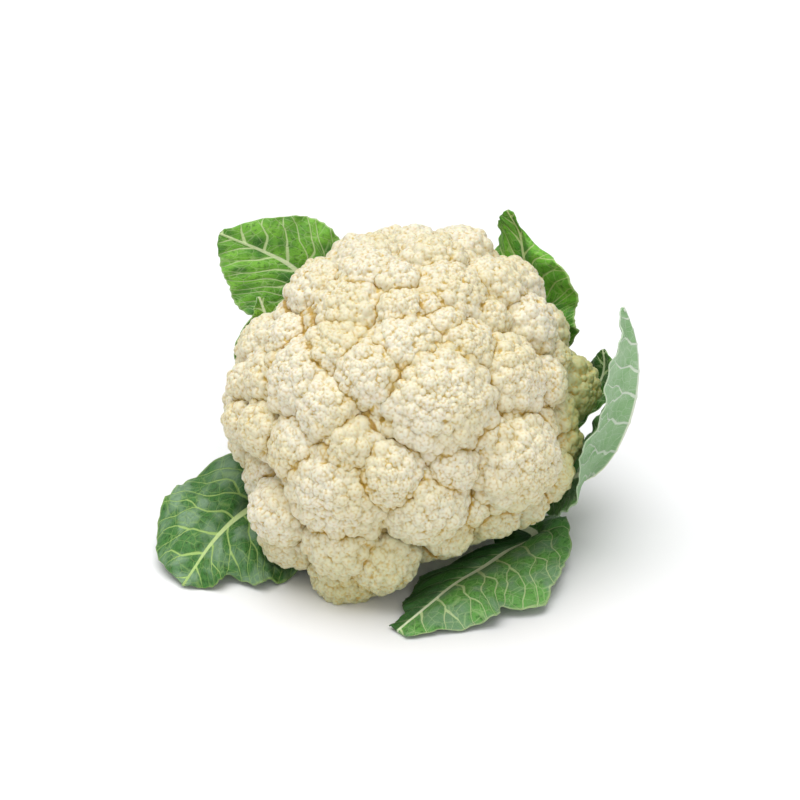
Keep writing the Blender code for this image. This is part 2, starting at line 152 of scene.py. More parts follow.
class Term:
    """One number that varies over a surface; each step of arithmetic on it adds a Math node."""

    def __init__(self, board: "Board", socket: bpy.types.NodeSocket) -> None:
        """Keeps the material and the output socket that gives the number."""
        self.board = board
        self.socket = socket

    def step(self, operation: str, *values: "Term | float") -> "Term":
        """The result of one Math node."""
        return self.board.node("ShaderNodeMath", {"operation": operation}, dict(enumerate(values)))

    def __add__(self, other: "Term | float") -> "Term":
        """self + other."""
        return self.step("ADD", self, other)

    def __radd__(self, other: float) -> "Term":
        """other + self."""
        return self.step("ADD", other, self)

    def __sub__(self, other: "Term | float") -> "Term":
        """self - other."""
        return self.step("SUBTRACT", self, other)

    def __rsub__(self, other: float) -> "Term":
        """other - self."""
        return self.step("SUBTRACT", other, self)

    def __mul__(self, other: "Term | float") -> "Term":
        """self * other."""
        return self.step("MULTIPLY", self, other)

    def __rmul__(self, other: float) -> "Term":
        """other * self."""
        return self.step("MULTIPLY", other, self)

    def __truediv__(self, other: "Term | float") -> "Term":
        """self / other."""
        return self.step("DIVIDE", self, other)

    def __rtruediv__(self, other: float) -> "Term":
        """other / self."""
        return self.step("DIVIDE", other, self)

    def __pow__(self, other: float) -> "Term":
        """self ** other."""
        return self.step("POWER", self, other)

    def __mod__(self, other: float) -> "Term":
        """self % other, never below zero."""
        return self.step("FLOORED_MODULO", self, other)

    def __abs__(self) -> "Term":
        """The size of the number without its sign."""
        return self.step("ABSOLUTE", self)

    def __lt__(self, other: float) -> "Term":
        """1 where the number is below the other, else 0."""
        return self.step("LESS_THAN", self, other)

    def rise(self, low: float, high: float) -> "Term":
        """A smooth rise from 0 at low to 1 at high, or a fall where low is the higher.

        Args:
            low: the value that gives 0.
            high: the value that gives 1.

        Returns:
            The rise as a term.
        """
        if low > high:
            return 1 - self.rise(high, low)
        return self.board.node(
            "ShaderNodeMapRange", {"interpolation_type": "SMOOTHSTEP"}, {0: self, 1: low, 2: high}
        )


class Board:
    """The node tree of one material, with a single Principled shader."""

    def __init__(self, name: str, **fixed: float | Colour) -> None:
        """Makes the material and sets the inputs that are the same all over.

        Args:
            name: the material's name.
            fixed: Principled inputs by name, with underscores for spaces.
        """
        self.material = bpy.data.materials.new(name)
        self.material.use_nodes = True
        self.tree = self.material.node_tree
        self.shader = self.tree.nodes["Principled BSDF"]
        for key, value in fixed.items():
            self.shader.inputs[key.replace("_", " ")].default_value = value

    def node(
        self, kind: str, settings: dict[str, str], inputs: dict, output: int | str = 0
    ) -> Term:
        """Adds one node of any kind.

        Args:
            kind: the node's type.
            settings: its properties, set before its sockets.
            inputs: values, or terms to link, by socket number or name.
            output: the socket that the result is read from.

        Returns:
            The node's output as a term.
        """
        made = self.tree.nodes.new(kind)
        for key, value in settings.items():
            setattr(made, key, value)
        for key, value in inputs.items():
            if isinstance(value, Term):
                self.tree.links.new(value.socket, made.inputs[key])
            else:
                made.inputs[key].default_value = value
        return Term(self, made.outputs[output])

    def attribute(self, name: str, output: str = "Fac") -> Term:
        """A value that the mesh carries."""
        return self.node("ShaderNodeAttribute", {"attribute_name": name}, {}, output)

    def parts(self, vector: Term) -> tuple[Term, Term, Term]:
        """The three numbers of a vector or a colour.

        Args:
            vector: the vector.

        Returns:
            A term for each of its numbers.
        """
        first = self.node("ShaderNodeSeparateXYZ", {}, {0: vector})
        outputs = first.socket.node.outputs
        return first, Term(self, outputs[1]), Term(self, outputs[2])

    def point(self) -> Term:
        """The place on the object, in metres."""
        return self.node("ShaderNodeTexCoord", {}, {}, "Object")

    def stretched(self, vector: Term, scale: Sequence[float]) -> Term:
        """A vector with each of its parts scaled."""
        return self.node("ShaderNodeMapping", {}, {"Vector": vector, "Scale": tuple(scale)})

    def noise(self, vector: Term, scale: float, detail: float = 3.0, rough: float = 0.55) -> Term:
        """Soft clouds, from 0 to 1."""
        values = {"Vector": vector, "Scale": scale, "Detail": detail, "Roughness": rough}
        return self.node("ShaderNodeTexNoise", {}, values, "Fac")

    def cells(self, vector: Term, scale: float, feature: str = "F1") -> Term:
        """The distance from the middle of a cell, or from its edge."""
        values = {"Vector": vector, "Scale": scale}
        return self.node("ShaderNodeTexVoronoi", {"feature": feature}, values, "Distance")

    def blend(self, share: Term | float, low: Term | Colour, high: Term | Colour) -> Term:
        """A colour between two colours.

        Args:
            share: 0 for the low colour and 1 for the high one.
            low: the one colour.
            high: the other.

        Returns:
            The colour as a term.
        """
        colours = [value if isinstance(value, Term) else (*value, 1.0) for value in (low, high)]
        inputs = {0: share, 6: colours[0], 7: colours[1]}
        return self.node("ShaderNodeMix", {"data_type": "RGBA"}, inputs, 2)

    def bump(self, height: Term, strength: float, under: Term | None = None) -> Term:
        """A normal that a height in metres tips, over another bump where one is given.

        Args:
            height: the height.
            strength: how strongly it tips the normal.
            under: the other bump.

        Returns:
            The normal as a term.
        """
        inputs = {"Height": height, "Distance": 1.0, "Strength": strength}
        if under is not None:
            inputs["Normal"] = under
        return self.node("ShaderNodeBump", {}, inputs, "Normal")

    def feed(self, **terms: Term) -> bpy.types.Material:
        """Links what varies to the shader's inputs and gives the material.

        Args:
            terms: terms by the name of the input, with underscores for spaces.

        Returns:
            The material.
        """
        for key, term in terms.items():
            self.tree.links.new(term.socket, self.shader.inputs[key.replace("_", " ")])
        return self.material


@dataclass(frozen=True)
class CurdFinish:
    """Cream curd: matt, faintly see-through beads; the ochre in the creases is partly their own tan
    and partly painted shade, and the green low down and at the right is painted shade.
    """

    cream: Colour = (0.71, 0.665, 0.465)
    ivory: Colour = (0.77, 0.74, 0.60)
    # the creases: ochre is partly the curd's own tan and partly painted shade; the brown deepest in
    # the seams is painted shade, with real brown specks
    ochre: Colour = (0.55, 0.37, 0.070)
    brown: Colour = (0.30, 0.16, 0.030)
    # painted shade: green tint for the head's underside and for its right side, where the right
    # leaf shades it and casts green light
    painted_shade_green: Colour = (0.45, 0.48, 0.19)
    blush: Colour = (0.86, 0.68, 0.54)
    pit_per_m: float = 430.0
    bead_per_m: float = 640.0
    bead_depth: float = 0.5 * MM
    grain_per_m: float = 2600.0
    grain_depth: float = 0.06 * MM
    # where the painted green shade grows, in metres: low on the head, and across to the right
    painted_shade_low_span: tuple[float, float] = (0.045, -0.045)
    painted_shade_side_span: tuple[float, float] = (0.068, 0.082)

    def material(self) -> bpy.types.Material:
        """Builds the node tree.

        Returns:
            The curd's material. It reads the mesh's "relief": how high on its bead, how high on
            its lobe, and how deep between florets a point is.
        """
        board = Board(
            "curd", Roughness=0.48, Subsurface_Weight=0.28, Subsurface_Scale=0.0018,
            Subsurface_Radius=(1.0, 0.70, 0.32), Specular_IOR_Level=0.40,
        )
        point = board.point()
        bead, lobe, deep = board.parts(board.attribute("relief", "Vector"))
        clouds = board.noise(point, 34.0)
        patches = board.noise(point, 120.0)
        micro = board.cells(point, self.bead_per_m)
        between = micro.rise(0.30, 0.62)
        skin = board.blend(clouds.rise(0.35, 0.65), self.cream, self.ivory)
        skin = board.blend(patches.rise(0.60, 0.80) * lobe * 0.35, skin, self.blush)
        across, ahead, up = board.parts(point)
        # painted shade: green towards the bottom of the head and on its far right side
        low = (up + ahead * 0.35 - across * 0.25).rise(*self.painted_shade_low_span) * 0.72
        painted_side_shade = across.rise(*self.painted_shade_side_span) * 0.85
        skin = board.blend(low + painted_side_shade - low * painted_side_shade, skin, self.painted_shade_green)
        # ochre between beads, lobes and florets: partly the curd's own tan and partly painted shade
        # in the creases and seams
        tan_and_shade = bead.rise(0.90, 0.45) * 0.66 + between * 0.04
        tan_and_shade = tan_and_shade + lobe.rise(0.74, 0.30) * 0.40 + deep.rise(0.80, 1.0) * 0.70
        tan_and_shade = tan_and_shade + deep.rise(0.12, 0.95) * 0.22
        skin = board.blend(tan_and_shade * 0.88, skin, self.ochre)
        # painted shade: brown deepest in the seams and dark specks there, partly real brown specks
        skin = board.blend(deep.rise(0.90, 1.0) * (0.15 + patches * 0.6), skin, self.brown)
        pits = board.cells(point, self.pit_per_m).rise(0.62, 0.90) * deep.rise(0.78, 0.95)
        skin = board.blend(pits * 0.55, skin, self.brown)
        height = (1 - micro * micro * 1.6) * self.bead_depth
        grain = board.noise(point, self.grain_per_m, 2.0)
        first = board.bump(height, 0.20)
        normal = board.bump(grain * self.grain_depth, 0.5, first)
        return board.feed(Base_Color=skin, Normal=normal)


@dataclass(frozen=True)
class BranchFinish:
    """The smooth pale flesh of the branches under the florets."""

    flesh: Colour = (0.80, 0.80, 0.52)
    green: Colour = (0.58, 0.66, 0.30)
    streak_per_m: float = 420.0

    def material(self) -> bpy.types.Material:
        """Builds the node tree.

        Returns:
            The material of the branches.
        """
        board = Board(
            "branch", Roughness=0.45, Subsurface_Weight=0.2, Subsurface_Scale=0.003,
            Subsurface_Radius=(0.9, 0.8, 0.3),
        )
        point = board.point()
        streaks = board.noise(board.stretched(point, (1, 1, 0.15)), self.streak_per_m)
        skin = board.blend(board.noise(point, 40.0).rise(0.35, 0.7), self.flesh, self.green)
        normal = board.bump(streaks * 0.0003, 0.5)
        return board.feed(Base_Color=skin, Normal=normal)


@dataclass(frozen=True)
class StemFinish:
    """Waxy pale skin round the stump, and a paler fibrous cut face with a browned edge."""

    skin: Colour = (0.60, 0.68, 0.36)
    light: Colour = (0.80, 0.82, 0.58)
    cut: Colour = (0.86, 0.84, 0.62)
    tan: Colour = (0.50, 0.38, 0.18)
    streak_per_m: float = 520.0

    def material(self) -> bpy.types.Material:
        """Builds the node tree. It reads the mesh's "cut": 1 on the cut face, and "ring".

        Returns:
            The stem's material.
        """
        board = Board(
            "stem", Roughness=0.42, Subsurface_Weight=0.15, Subsurface_Scale=0.003,
            Subsurface_Radius=(0.9, 0.8, 0.4),
        )
        point = board.point()
        cut, ring, _ = board.parts(board.attribute("cut", "Vector"))
        streaks = board.noise(board.stretched(point, (1, 0.5, 0.3)), self.streak_per_m)
        speckle = board.noise(point, 1100.0)
        skin = board.blend(streaks.rise(0.35, 0.70), self.skin, self.light)
        face = board.blend(speckle.rise(0.45, 0.75) * 0.35, self.cut, self.tan)
        face = board.blend(ring * streaks.rise(0.3, 0.7), face, self.tan)
        colour = board.blend(cut, skin, face)
        height = streaks * (1 - cut) * 0.0005 + speckle * cut * 0.0003
        return board.feed(
            Base_Color=colour, Roughness=0.42 + cut * 0.25, Normal=board.bump(height, 0.6)
        )


KINK_RUN_MM = 6.5
KINK_SIZE_MM = 1.7
KINK_SLANT = 0.11
KINK_OFFSET = 0.7
FORK_NEAREST = 0.45
FORK_RANGE = 0.9
FORK_SPREAD = 0.50
FORK_WIDEST = 0.26
GOLDEN_SHARE = 0.618


def lateral_veins(
    along: Array | Term, across: Array | Term, spacing: float, lean: float, curl: float,
    fork: float,
) -> Array | Term:
    """How far, in millimetres, a place is from the nearest side vein of a leaf.

    The formula is made of plain arithmetic, so it works on arrays and on shader terms alike. The
    side veins leave the midrib in turn to its left and right, lean and curl towards the tip, bend
    in short runs, and each splits in two at a distance of its own.

    Args:
        along: the place along the midrib, in millimetres.
        across: how far from the midrib, below zero on its left.
        spacing: the step between side veins on one side of the midrib.
        lean: how far towards the tip a vein runs for each step outward.
        curl: how much more it leans the further out it is.
        fork: how far out the veins split, on the whole.

    Returns:
        The distance, as the same kind of value as the place.
    """
    out = abs(across)
    left = across < 0
    start = along - out * lean - out * out * curl
    zigzag = out / KINK_RUN_MM + start * KINK_SLANT + left * KINK_OFFSET
    kink = abs(zigzag % 2 - 1) * KINK_SIZE_MM
    turn = (start + kink) / spacing + left * 0.5
    lane = turn % 1
    own = (turn - lane) * GOLDEN_SHARE % 1
    away = abs(lane - 0.5) * (spacing / math.sqrt(1 + lean * lean))
    past = out - (own * FORK_RANGE + FORK_NEAREST) * fork
    spread = (past + abs(past)) * (0.5 * FORK_SPREAD)
    widest = spacing * FORK_WIDEST
    spread = (spread + widest - abs(spread - widest)) * 0.5
    return abs(away - spread)


@dataclass(frozen=True)
class LeafFinish:
    """A waxy leaf: green between pale veins, paler and bloomed beneath, with a light margin, and
    darker with painted shade towards its foot and on a half that lies in shadow.
    """

    name: str
    blade: Colour = (0.050, 0.215, 0.012)
    light: Colour = (0.185, 0.460, 0.040)
    dark: Colour = (0.010, 0.065, 0.004)
    vein: Colour = (0.55, 0.68, 0.34)
    rib: Colour = (0.80, 0.85, 0.62)
    under: Colour = (0.30, 0.47, 0.25)
    bloom: Colour = (0.24, 0.38, 0.24)
    bloom_share: float = 0.15
    vein_share: float = 0.92
    spacing: float = 11.0
    lean: float = 0.80
    curl: float = 0.003
    fork: float = 15.0
    cell_per_mm: float = 0.21
    rib_run: float = 110.0
    # painted shade: the blade darkens towards its foot over this run, in millimetres, by this share
    base_run: float = 70.0
    painted_foot_shade: float = 0.55

    def veins(self, along: Array | Term, across: Array | Term) -> Array | Term:
        """The distance from the nearest side vein, in millimetres, on arrays or terms."""
        return lateral_veins(along, across, self.spacing, self.lean, self.curl, self.fork)

    def material(self) -> bpy.types.Material:
        """Builds the node tree.

        Returns:
            The leaf's material. It reads the mesh's "blade": the warped place along and across
            the blade in millimetres and the share of the half width, and its "side": 1 on the
            outer face, the half width of the midrib in millimetres, and the painted shade of the
            half that lies in shadow.
        """
        board = Board(
            self.name, Specular_IOR_Level=0.26, Sheen_Weight=0.02, Sheen_Roughness=0.5,
            Subsurface_Weight=0.05, Subsurface_Scale=0.002, Subsurface_Radius=(0.4, 1.0, 0.2),
        )
        place = board.attribute("blade", "Vector")
        along, across, share = board.parts(place)
        outer, rib, painted_half_shade = board.parts(board.attribute("side", "Vector"))
        out = abs(across)
        near = self.veins(along, across)
        width = 0.20 + 0.56 * (1 - share) ** 1.5
        side_vein = (near / width).rise(1.30, 0.60)
        midrib = (out / rib).rise(1.15, 0.75)
        flat = board.stretched(place, (1, 1, 0))
        net = board.cells(flat, self.cell_per_mm, "DISTANCE_TO_EDGE").rise(0.060, 0.0)
        fine = board.cells(flat, self.cell_per_mm * 3.4, "DISTANCE_TO_EDGE").rise(0.12, 0.0)
        clouds = board.noise(flat, 0.075, 4.0)
        mottle = board.noise(flat, 0.60, 4.0)
        green = board.blend(clouds.rise(0.36, 0.62), self.blade, self.light)
        green = board.blend(mottle.rise(0.46, 0.70) * 0.70, green, self.dark)
        green = board.blend(clouds.rise(0.52, 0.32) * 0.35, green, self.dark)
        green = board.blend((near / 2.6).rise(1.0, 0.1) * 0.25, green, self.light)
        bloom = clouds.rise(0.60, 0.40) * (0.3 + mottle) * self.bloom_share
        green = board.blend(bloom.rise(0.0, 1.0), green, self.bloom)
        under = board.blend(clouds.rise(0.40, 0.66) * 0.7, self.under, self.light)
        green = board.blend(outer * (0.80 + mottle * 0.20), green, under)
        lines = (net * 0.26 + fine * 0.08) * (1 - midrib)
        green = board.blend(lines, green, self.vein)
        green = board.blend(side_vein * (1 - share * 0.35) * self.vein_share, green, self.vein)
        margin = (share + mottle * 0.03).rise(0.975, 1.01) * 0.55
        green = board.blend(margin, green, self.vein)
        # painted shade: darker on the half that lies in shadow and towards the foot by the head
        deep = painted_half_shade * 0.8 + (along / self.base_run).rise(1.0, 0.15) * self.painted_foot_shade
        green = board.blend(deep, green, self.dark)
        rib_skin = board.blend((along / self.rib_run).rise(1.0, 0.2), self.vein, self.rib)
        colour = board.blend(midrib * 0.95, green, rib_skin)
        ribs = side_vein + midrib - side_vein * midrib
        height = 0.00025 * ribs * (outer * 2 - 1) - 0.00012 * net - 0.00007 * fine
        height = height + mottle * 0.00030
        normal = board.bump(height, 0.9)
        rough = 0.38 + 0.20 * mottle + 0.10 * outer
        return board.feed(Base_Color=colour, Roughness=rough, Normal=normal)


@dataclass(frozen=True)
class TableFinish:
    """A plain pale matt table."""

    white: Colour = (0.84, 0.84, 0.85)

    def material(self) -> bpy.types.Material:
        """Builds the material."""
        board = Board("table", Roughness=0.9, Specular_IOR_Level=0.1, Base_Color=(*self.white, 1.0))
        return board.material


def finished(bm: bmesh.types.BMesh, name: str) -> bpy.types.Mesh:
    """The mesh of a bmesh, which is freed.

    Args:
        bm: the bmesh.
        name: the mesh's name.

    Returns:
        The new mesh.
    """
    mesh = bpy.data.meshes.new(name)
    bm.to_mesh(mesh)
    bm.free()
    return mesh


def add_piece(
    name: str, mesh: bpy.types.Mesh, material: bpy.types.Material, slot: Slot, *nodes: str
) -> bpy.types.Object:
    """Links a finished mesh as a piece that stands for nodes of the part.

    Args:
        name: the piece's name.
        mesh: its mesh, already in place.
        material: its finish.
        slot: the record's material slot of that finish; not used.
        nodes: the nodes that it replaces.

    Returns:
        The linked object.
    """
    mesh.name = name
    mesh.materials.clear()
    mesh.materials.append(material)
    mesh.shade_smooth()
    piece = bpy.data.objects.new(name, mesh)
    bpy.context.scene.collection.objects.link(piece)
    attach(piece, "root")
    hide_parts(*nodes)
    log.info("%s: %d faces", name, len(mesh.polygons))
    return piece


def write_points(mesh: bpy.types.Mesh, points: Array) -> None:
    """Moves every vertex of a mesh."""
    mesh.vertices.foreach_set("co", points.astype(np.float32).ravel())
    mesh.update()


def read_points(mesh: bpy.types.Mesh) -> Array:
    """The place of every vertex of a mesh.

    Args:
        mesh: the mesh.

    Returns:
        The points, one a row.
    """
    points = np.empty(len(mesh.vertices) * 3, np.float32)
    mesh.vertices.foreach_get("co", points)
    return points.reshape(-1, 3).astype(float)


def write_values(mesh: bpy.types.Mesh, name: str, values: Array) -> None:
    """Gives every vertex of a mesh three numbers that its material reads."""
    layer = mesh.attributes.new(name, "FLOAT_VECTOR", "POINT")
    layer.data.foreach_set("vector", values.astype(np.float32).ravel())


@dataclass(frozen=True)
class Lie:
    """How the plant lies on the table."""

    height: float = 62 * MM
    tip_forward: float = math.radians(35)
    lean_right: float = math.radians(4)
    shift: Spot = (1.56 * MM, -0.89 * MM, 0.0)
    towards_viewer: Spot = (0.0, -0.89, 0.45)

    def on_table(self) -> Matrix:
        """Carries the shapes of leaves, which are given on the table, to their place."""
        return Matrix.Translation(self.shift)

    def grown(self) -> Matrix:
        """Carries the growth frame to the table, before the shift.

        Returns:
            The matrix.
        """
        return (
            Matrix.Translation((0, 0, self.height))
            @ Matrix.Rotation(self.tip_forward, 4, "X")
            @ Matrix.Rotation(self.lean_right, 4, "Y")
        )

    def placed(self) -> Matrix:
        """Carries the growth frame to its final place."""
        return self.on_table() @ self.grown()


@dataclass(frozen=True)
class Floret:
    """One round branch end of the head: its axis, radius and middle, in the growth frame."""

    way: Array
    radius: float
    rise: float
    middle: Array


def balls_of(florets: Sequence[Floret]) -> tuple[Array, Array]:
    """The middles and the radii of florets."""
    middles = np.array([floret.middle for floret in florets])
    return middles, np.array([floret.radius for floret in florets])


# The florets of the seen side: the angle from the crown and the bearing in degrees, and the
# radius and the rise above the dome in millimetres.
FRONT_FLORETS = (
    (40, 75, 15.5, 4), (32, 118, 13.7, 3), (22, 102, 9.1, 3), (27, 148, 16.5, 1),
    (36, 164, 12.8, -4),
    (9, 111, 9.6, 3), (12, 57, 6.4, 1), (24, 53, 16.5, 4), (12, 17, 7.8, 2), (44, 43, 15, 6),
    (6, -104, 15.1, 4), (19, -13, 13.7, 3), (31, 23, 9.1, 0), (51, 22, 15.5, 5), (39, -14, 19.2, 3),
    (26, -66, 24.2, 8), (21, -133, 12.8, 5), (28, -172, 15.5, 1), (59, -175, 13.7, 0),
    (42, -165, 18.3, 2), (39, -139, 13.7, 4), (34, -110, 13.7, -5), (67, -157, 12.8, 2),
    (45, -119, 14.6, 2), (59, -139, 16.5, 1), (63, -117, 26.5, 5), (50, -97, 15.5, 4),
    (42, -86, 7.8, -5), (62, -82, 18.3, 4), (49, -70, 11.9, 1), (60, -42, 22.8, 8),
    (45, -48, 10.1, 0), (42, -35, 8.2, -5), (63, -21, 11.9, -3), (76, -7, 13, -1), (84, 8, 15, 10),
    (76, 13, 8, -3), (84, -133, 15, 8), (82, -110, 16.5, 7), (86, -96, 15, 6), (68, -65, 10.1, -4),
    (79, -54, 12.8, -3), (98, -107, 16, 11), (97, -129, 14, 8), (76, -74, 11, -2),
    (84, -150, 13, -5),
    (64, 68, 16, 6), (63, 86, 13, 1), (70, 46, 16, 6), (76, 28, 14, 4), (73, 143, 13, -10),
    (70, 126, 14, -4), (97, -168, 12, -2), (86, -72, 11, -9), (87, -39, 12, -1), (84, -27, 13, 3),
    (89, 132, 14, -9), (56, 154, 9, -5), (78, -167, 10, 1.5), (93, -80, 9, -12), (91, -60, 9, -12),
    (92, -50, 11, -10), (64, 104, 9, -3), (85, -13, 12, 2),
)


@dataclass(frozen=True)
class Dome:
    """The form of the head that the florets stand on."""

    half_x: float = 82 * MM
    half_y: float = 86 * MM
    crown: float = 79 * MM
    under: float = 48 * MM
    core_share: float = 0.80
    branches: int = 16
    branch_relief: float = 7 * MM
    furrow_sharpness: float = 0.7
    socket_radius: float = 23 * MM
    socket_depth: float = 38 * MM
    fill_seed: int = 11
    fill_lowest: float = math.radians(104)
    fill_low_side: float = math.radians(140)
    fill_low_swing: float = math.radians(12)
    fill_sizes: tuple[tuple[float, int], ...] = ((17 * MM, 260), (12.5 * MM, 420), (9 * MM, 600))
    fill_spacing: float = 0.80
    fill_size_swing: float = 0.12
    fill_rise_swing: float = 2 * MM

    def reach(self, ways: Array) -> Array:
        """How far the outer dome is along each unit vector.

        Args:
            ways: the unit vectors.

        Returns:
            The distances.
        """
        height = np.where(ways[..., 2] >= 0, self.crown, self.under)
        x, y, z = ways[..., 0] / self.half_x, ways[..., 1] / self.half_y, ways[..., 2] / height
        return 1 / np.sqrt(x * x + y * y + z * z)

    def core_reach(self, ways: Array) -> Array:
        """How far the smooth body under the florets reaches, flat where the stem meets it.

        Args:
            ways: unit vectors, one a row.

        Returns:
            The distance along each.
        """
        below = np.clip(-ways[:, 2], 0, 1)
        bearing = np.arctan2(ways[:, 1], ways[:, 0])
        furrows = 1 - np.abs(np.cos(self.branches / 2 * bearing))
        relief = self.branch_relief * furrows * np.sin(math.pi * below) ** self.furrow_sharpness
        flat = self.socket_depth / np.maximum(below, TINY)
        edge = math.cos(math.atan(self.socket_radius / self.socket_depth))
        return np.where(below > edge, flat, self.reach(ways) * self.core_share - relief)

    def florets(self) -> list[Floret]:
        """The florets seen on the front, and those that fill the rest of the dome.

        Returns:
            Every floret, in the order in which the part's source places them.
        """
        found = [
            (direction(math.radians(polar), math.radians(bearing)), radius * MM, rise * MM)
            for polar, bearing, radius, rise in FRONT_FLORETS
        ]
        draw = np.random.default_rng(self.fill_seed)
        for size, tries in self.fill_sizes:
            for k in range(tries):
                bearing = k * GOLDEN_ANGLE
                swing = self.fill_low_swing * math.cos(bearing - self.fill_low_side)
                height = 1 - (1 - math.cos(self.fill_lowest + swing)) * (k + 0.5) / tries
                way = direction(math.acos(height), bearing)
                radius = size * (1 + draw.uniform(-self.fill_size_swing, self.fill_size_swing))
                rise = draw.uniform(-self.fill_rise_swing, self.fill_rise_swing)
                reach = float(self.reach(way))
                near = min(
                    np.linalg.norm(way - other) * reach / (radius + other_radius)
                    for other, other_radius, _ in found
                )
                if near > self.fill_spacing:
                    found.append((way, radius, rise))
        return [
            Floret(way, radius, rise, way * (float(self.reach(way)) + rise - radius))
            for way, radius, rise in found
        ]


@dataclass(frozen=True)
class Ball:
    """An even ball of triangles, from which a closed shell is raised."""

    mesh: bpy.types.Mesh
    ways: Array

    @classmethod
    def cut(cls, name: str, cuts: int) -> Ball:
        """A ball with each edge of a coarse one cut so many times.

        Args:
            name: the mesh's name.
            cuts: the cuts of each edge, one or more.

        Returns:
            The ball.
        """
        bm = bmesh.new()
        bmesh.ops.create_icosphere(bm, subdivisions=2, radius=1)
        bmesh.ops.subdivide_edges(bm, edges=bm.edges[:], cuts=cuts, use_grid_fill=True)
        bmesh.ops.triangulate(bm, faces=bm.faces[:])
        mesh = finished(bm, name)
        return cls(mesh, unit(read_points(mesh)))


@dataclass(frozen=True)
class Cut:
    """How finely a floret's ball is cut, and how far from its axis the floret shows."""

    cuts: int
    shown: float

    def faces(self) -> int:
        """The triangles of the ball."""
        return BALL_FACES * (self.cuts + 1) ** 2


@dataclass(frozen=True)
class Beads:
    """The small balls of a floret's surface, relative to its middle, and the lobe under each.

    A ball's top is how high its pole counts: 1 on a bead, and less on the filler inside a lobe.
    """

    centre: Array
    radius: Array
    axis: Array
    top: Array
    lobe_centre: Array
    lobe_radius: Array
    lobe_axis: Array


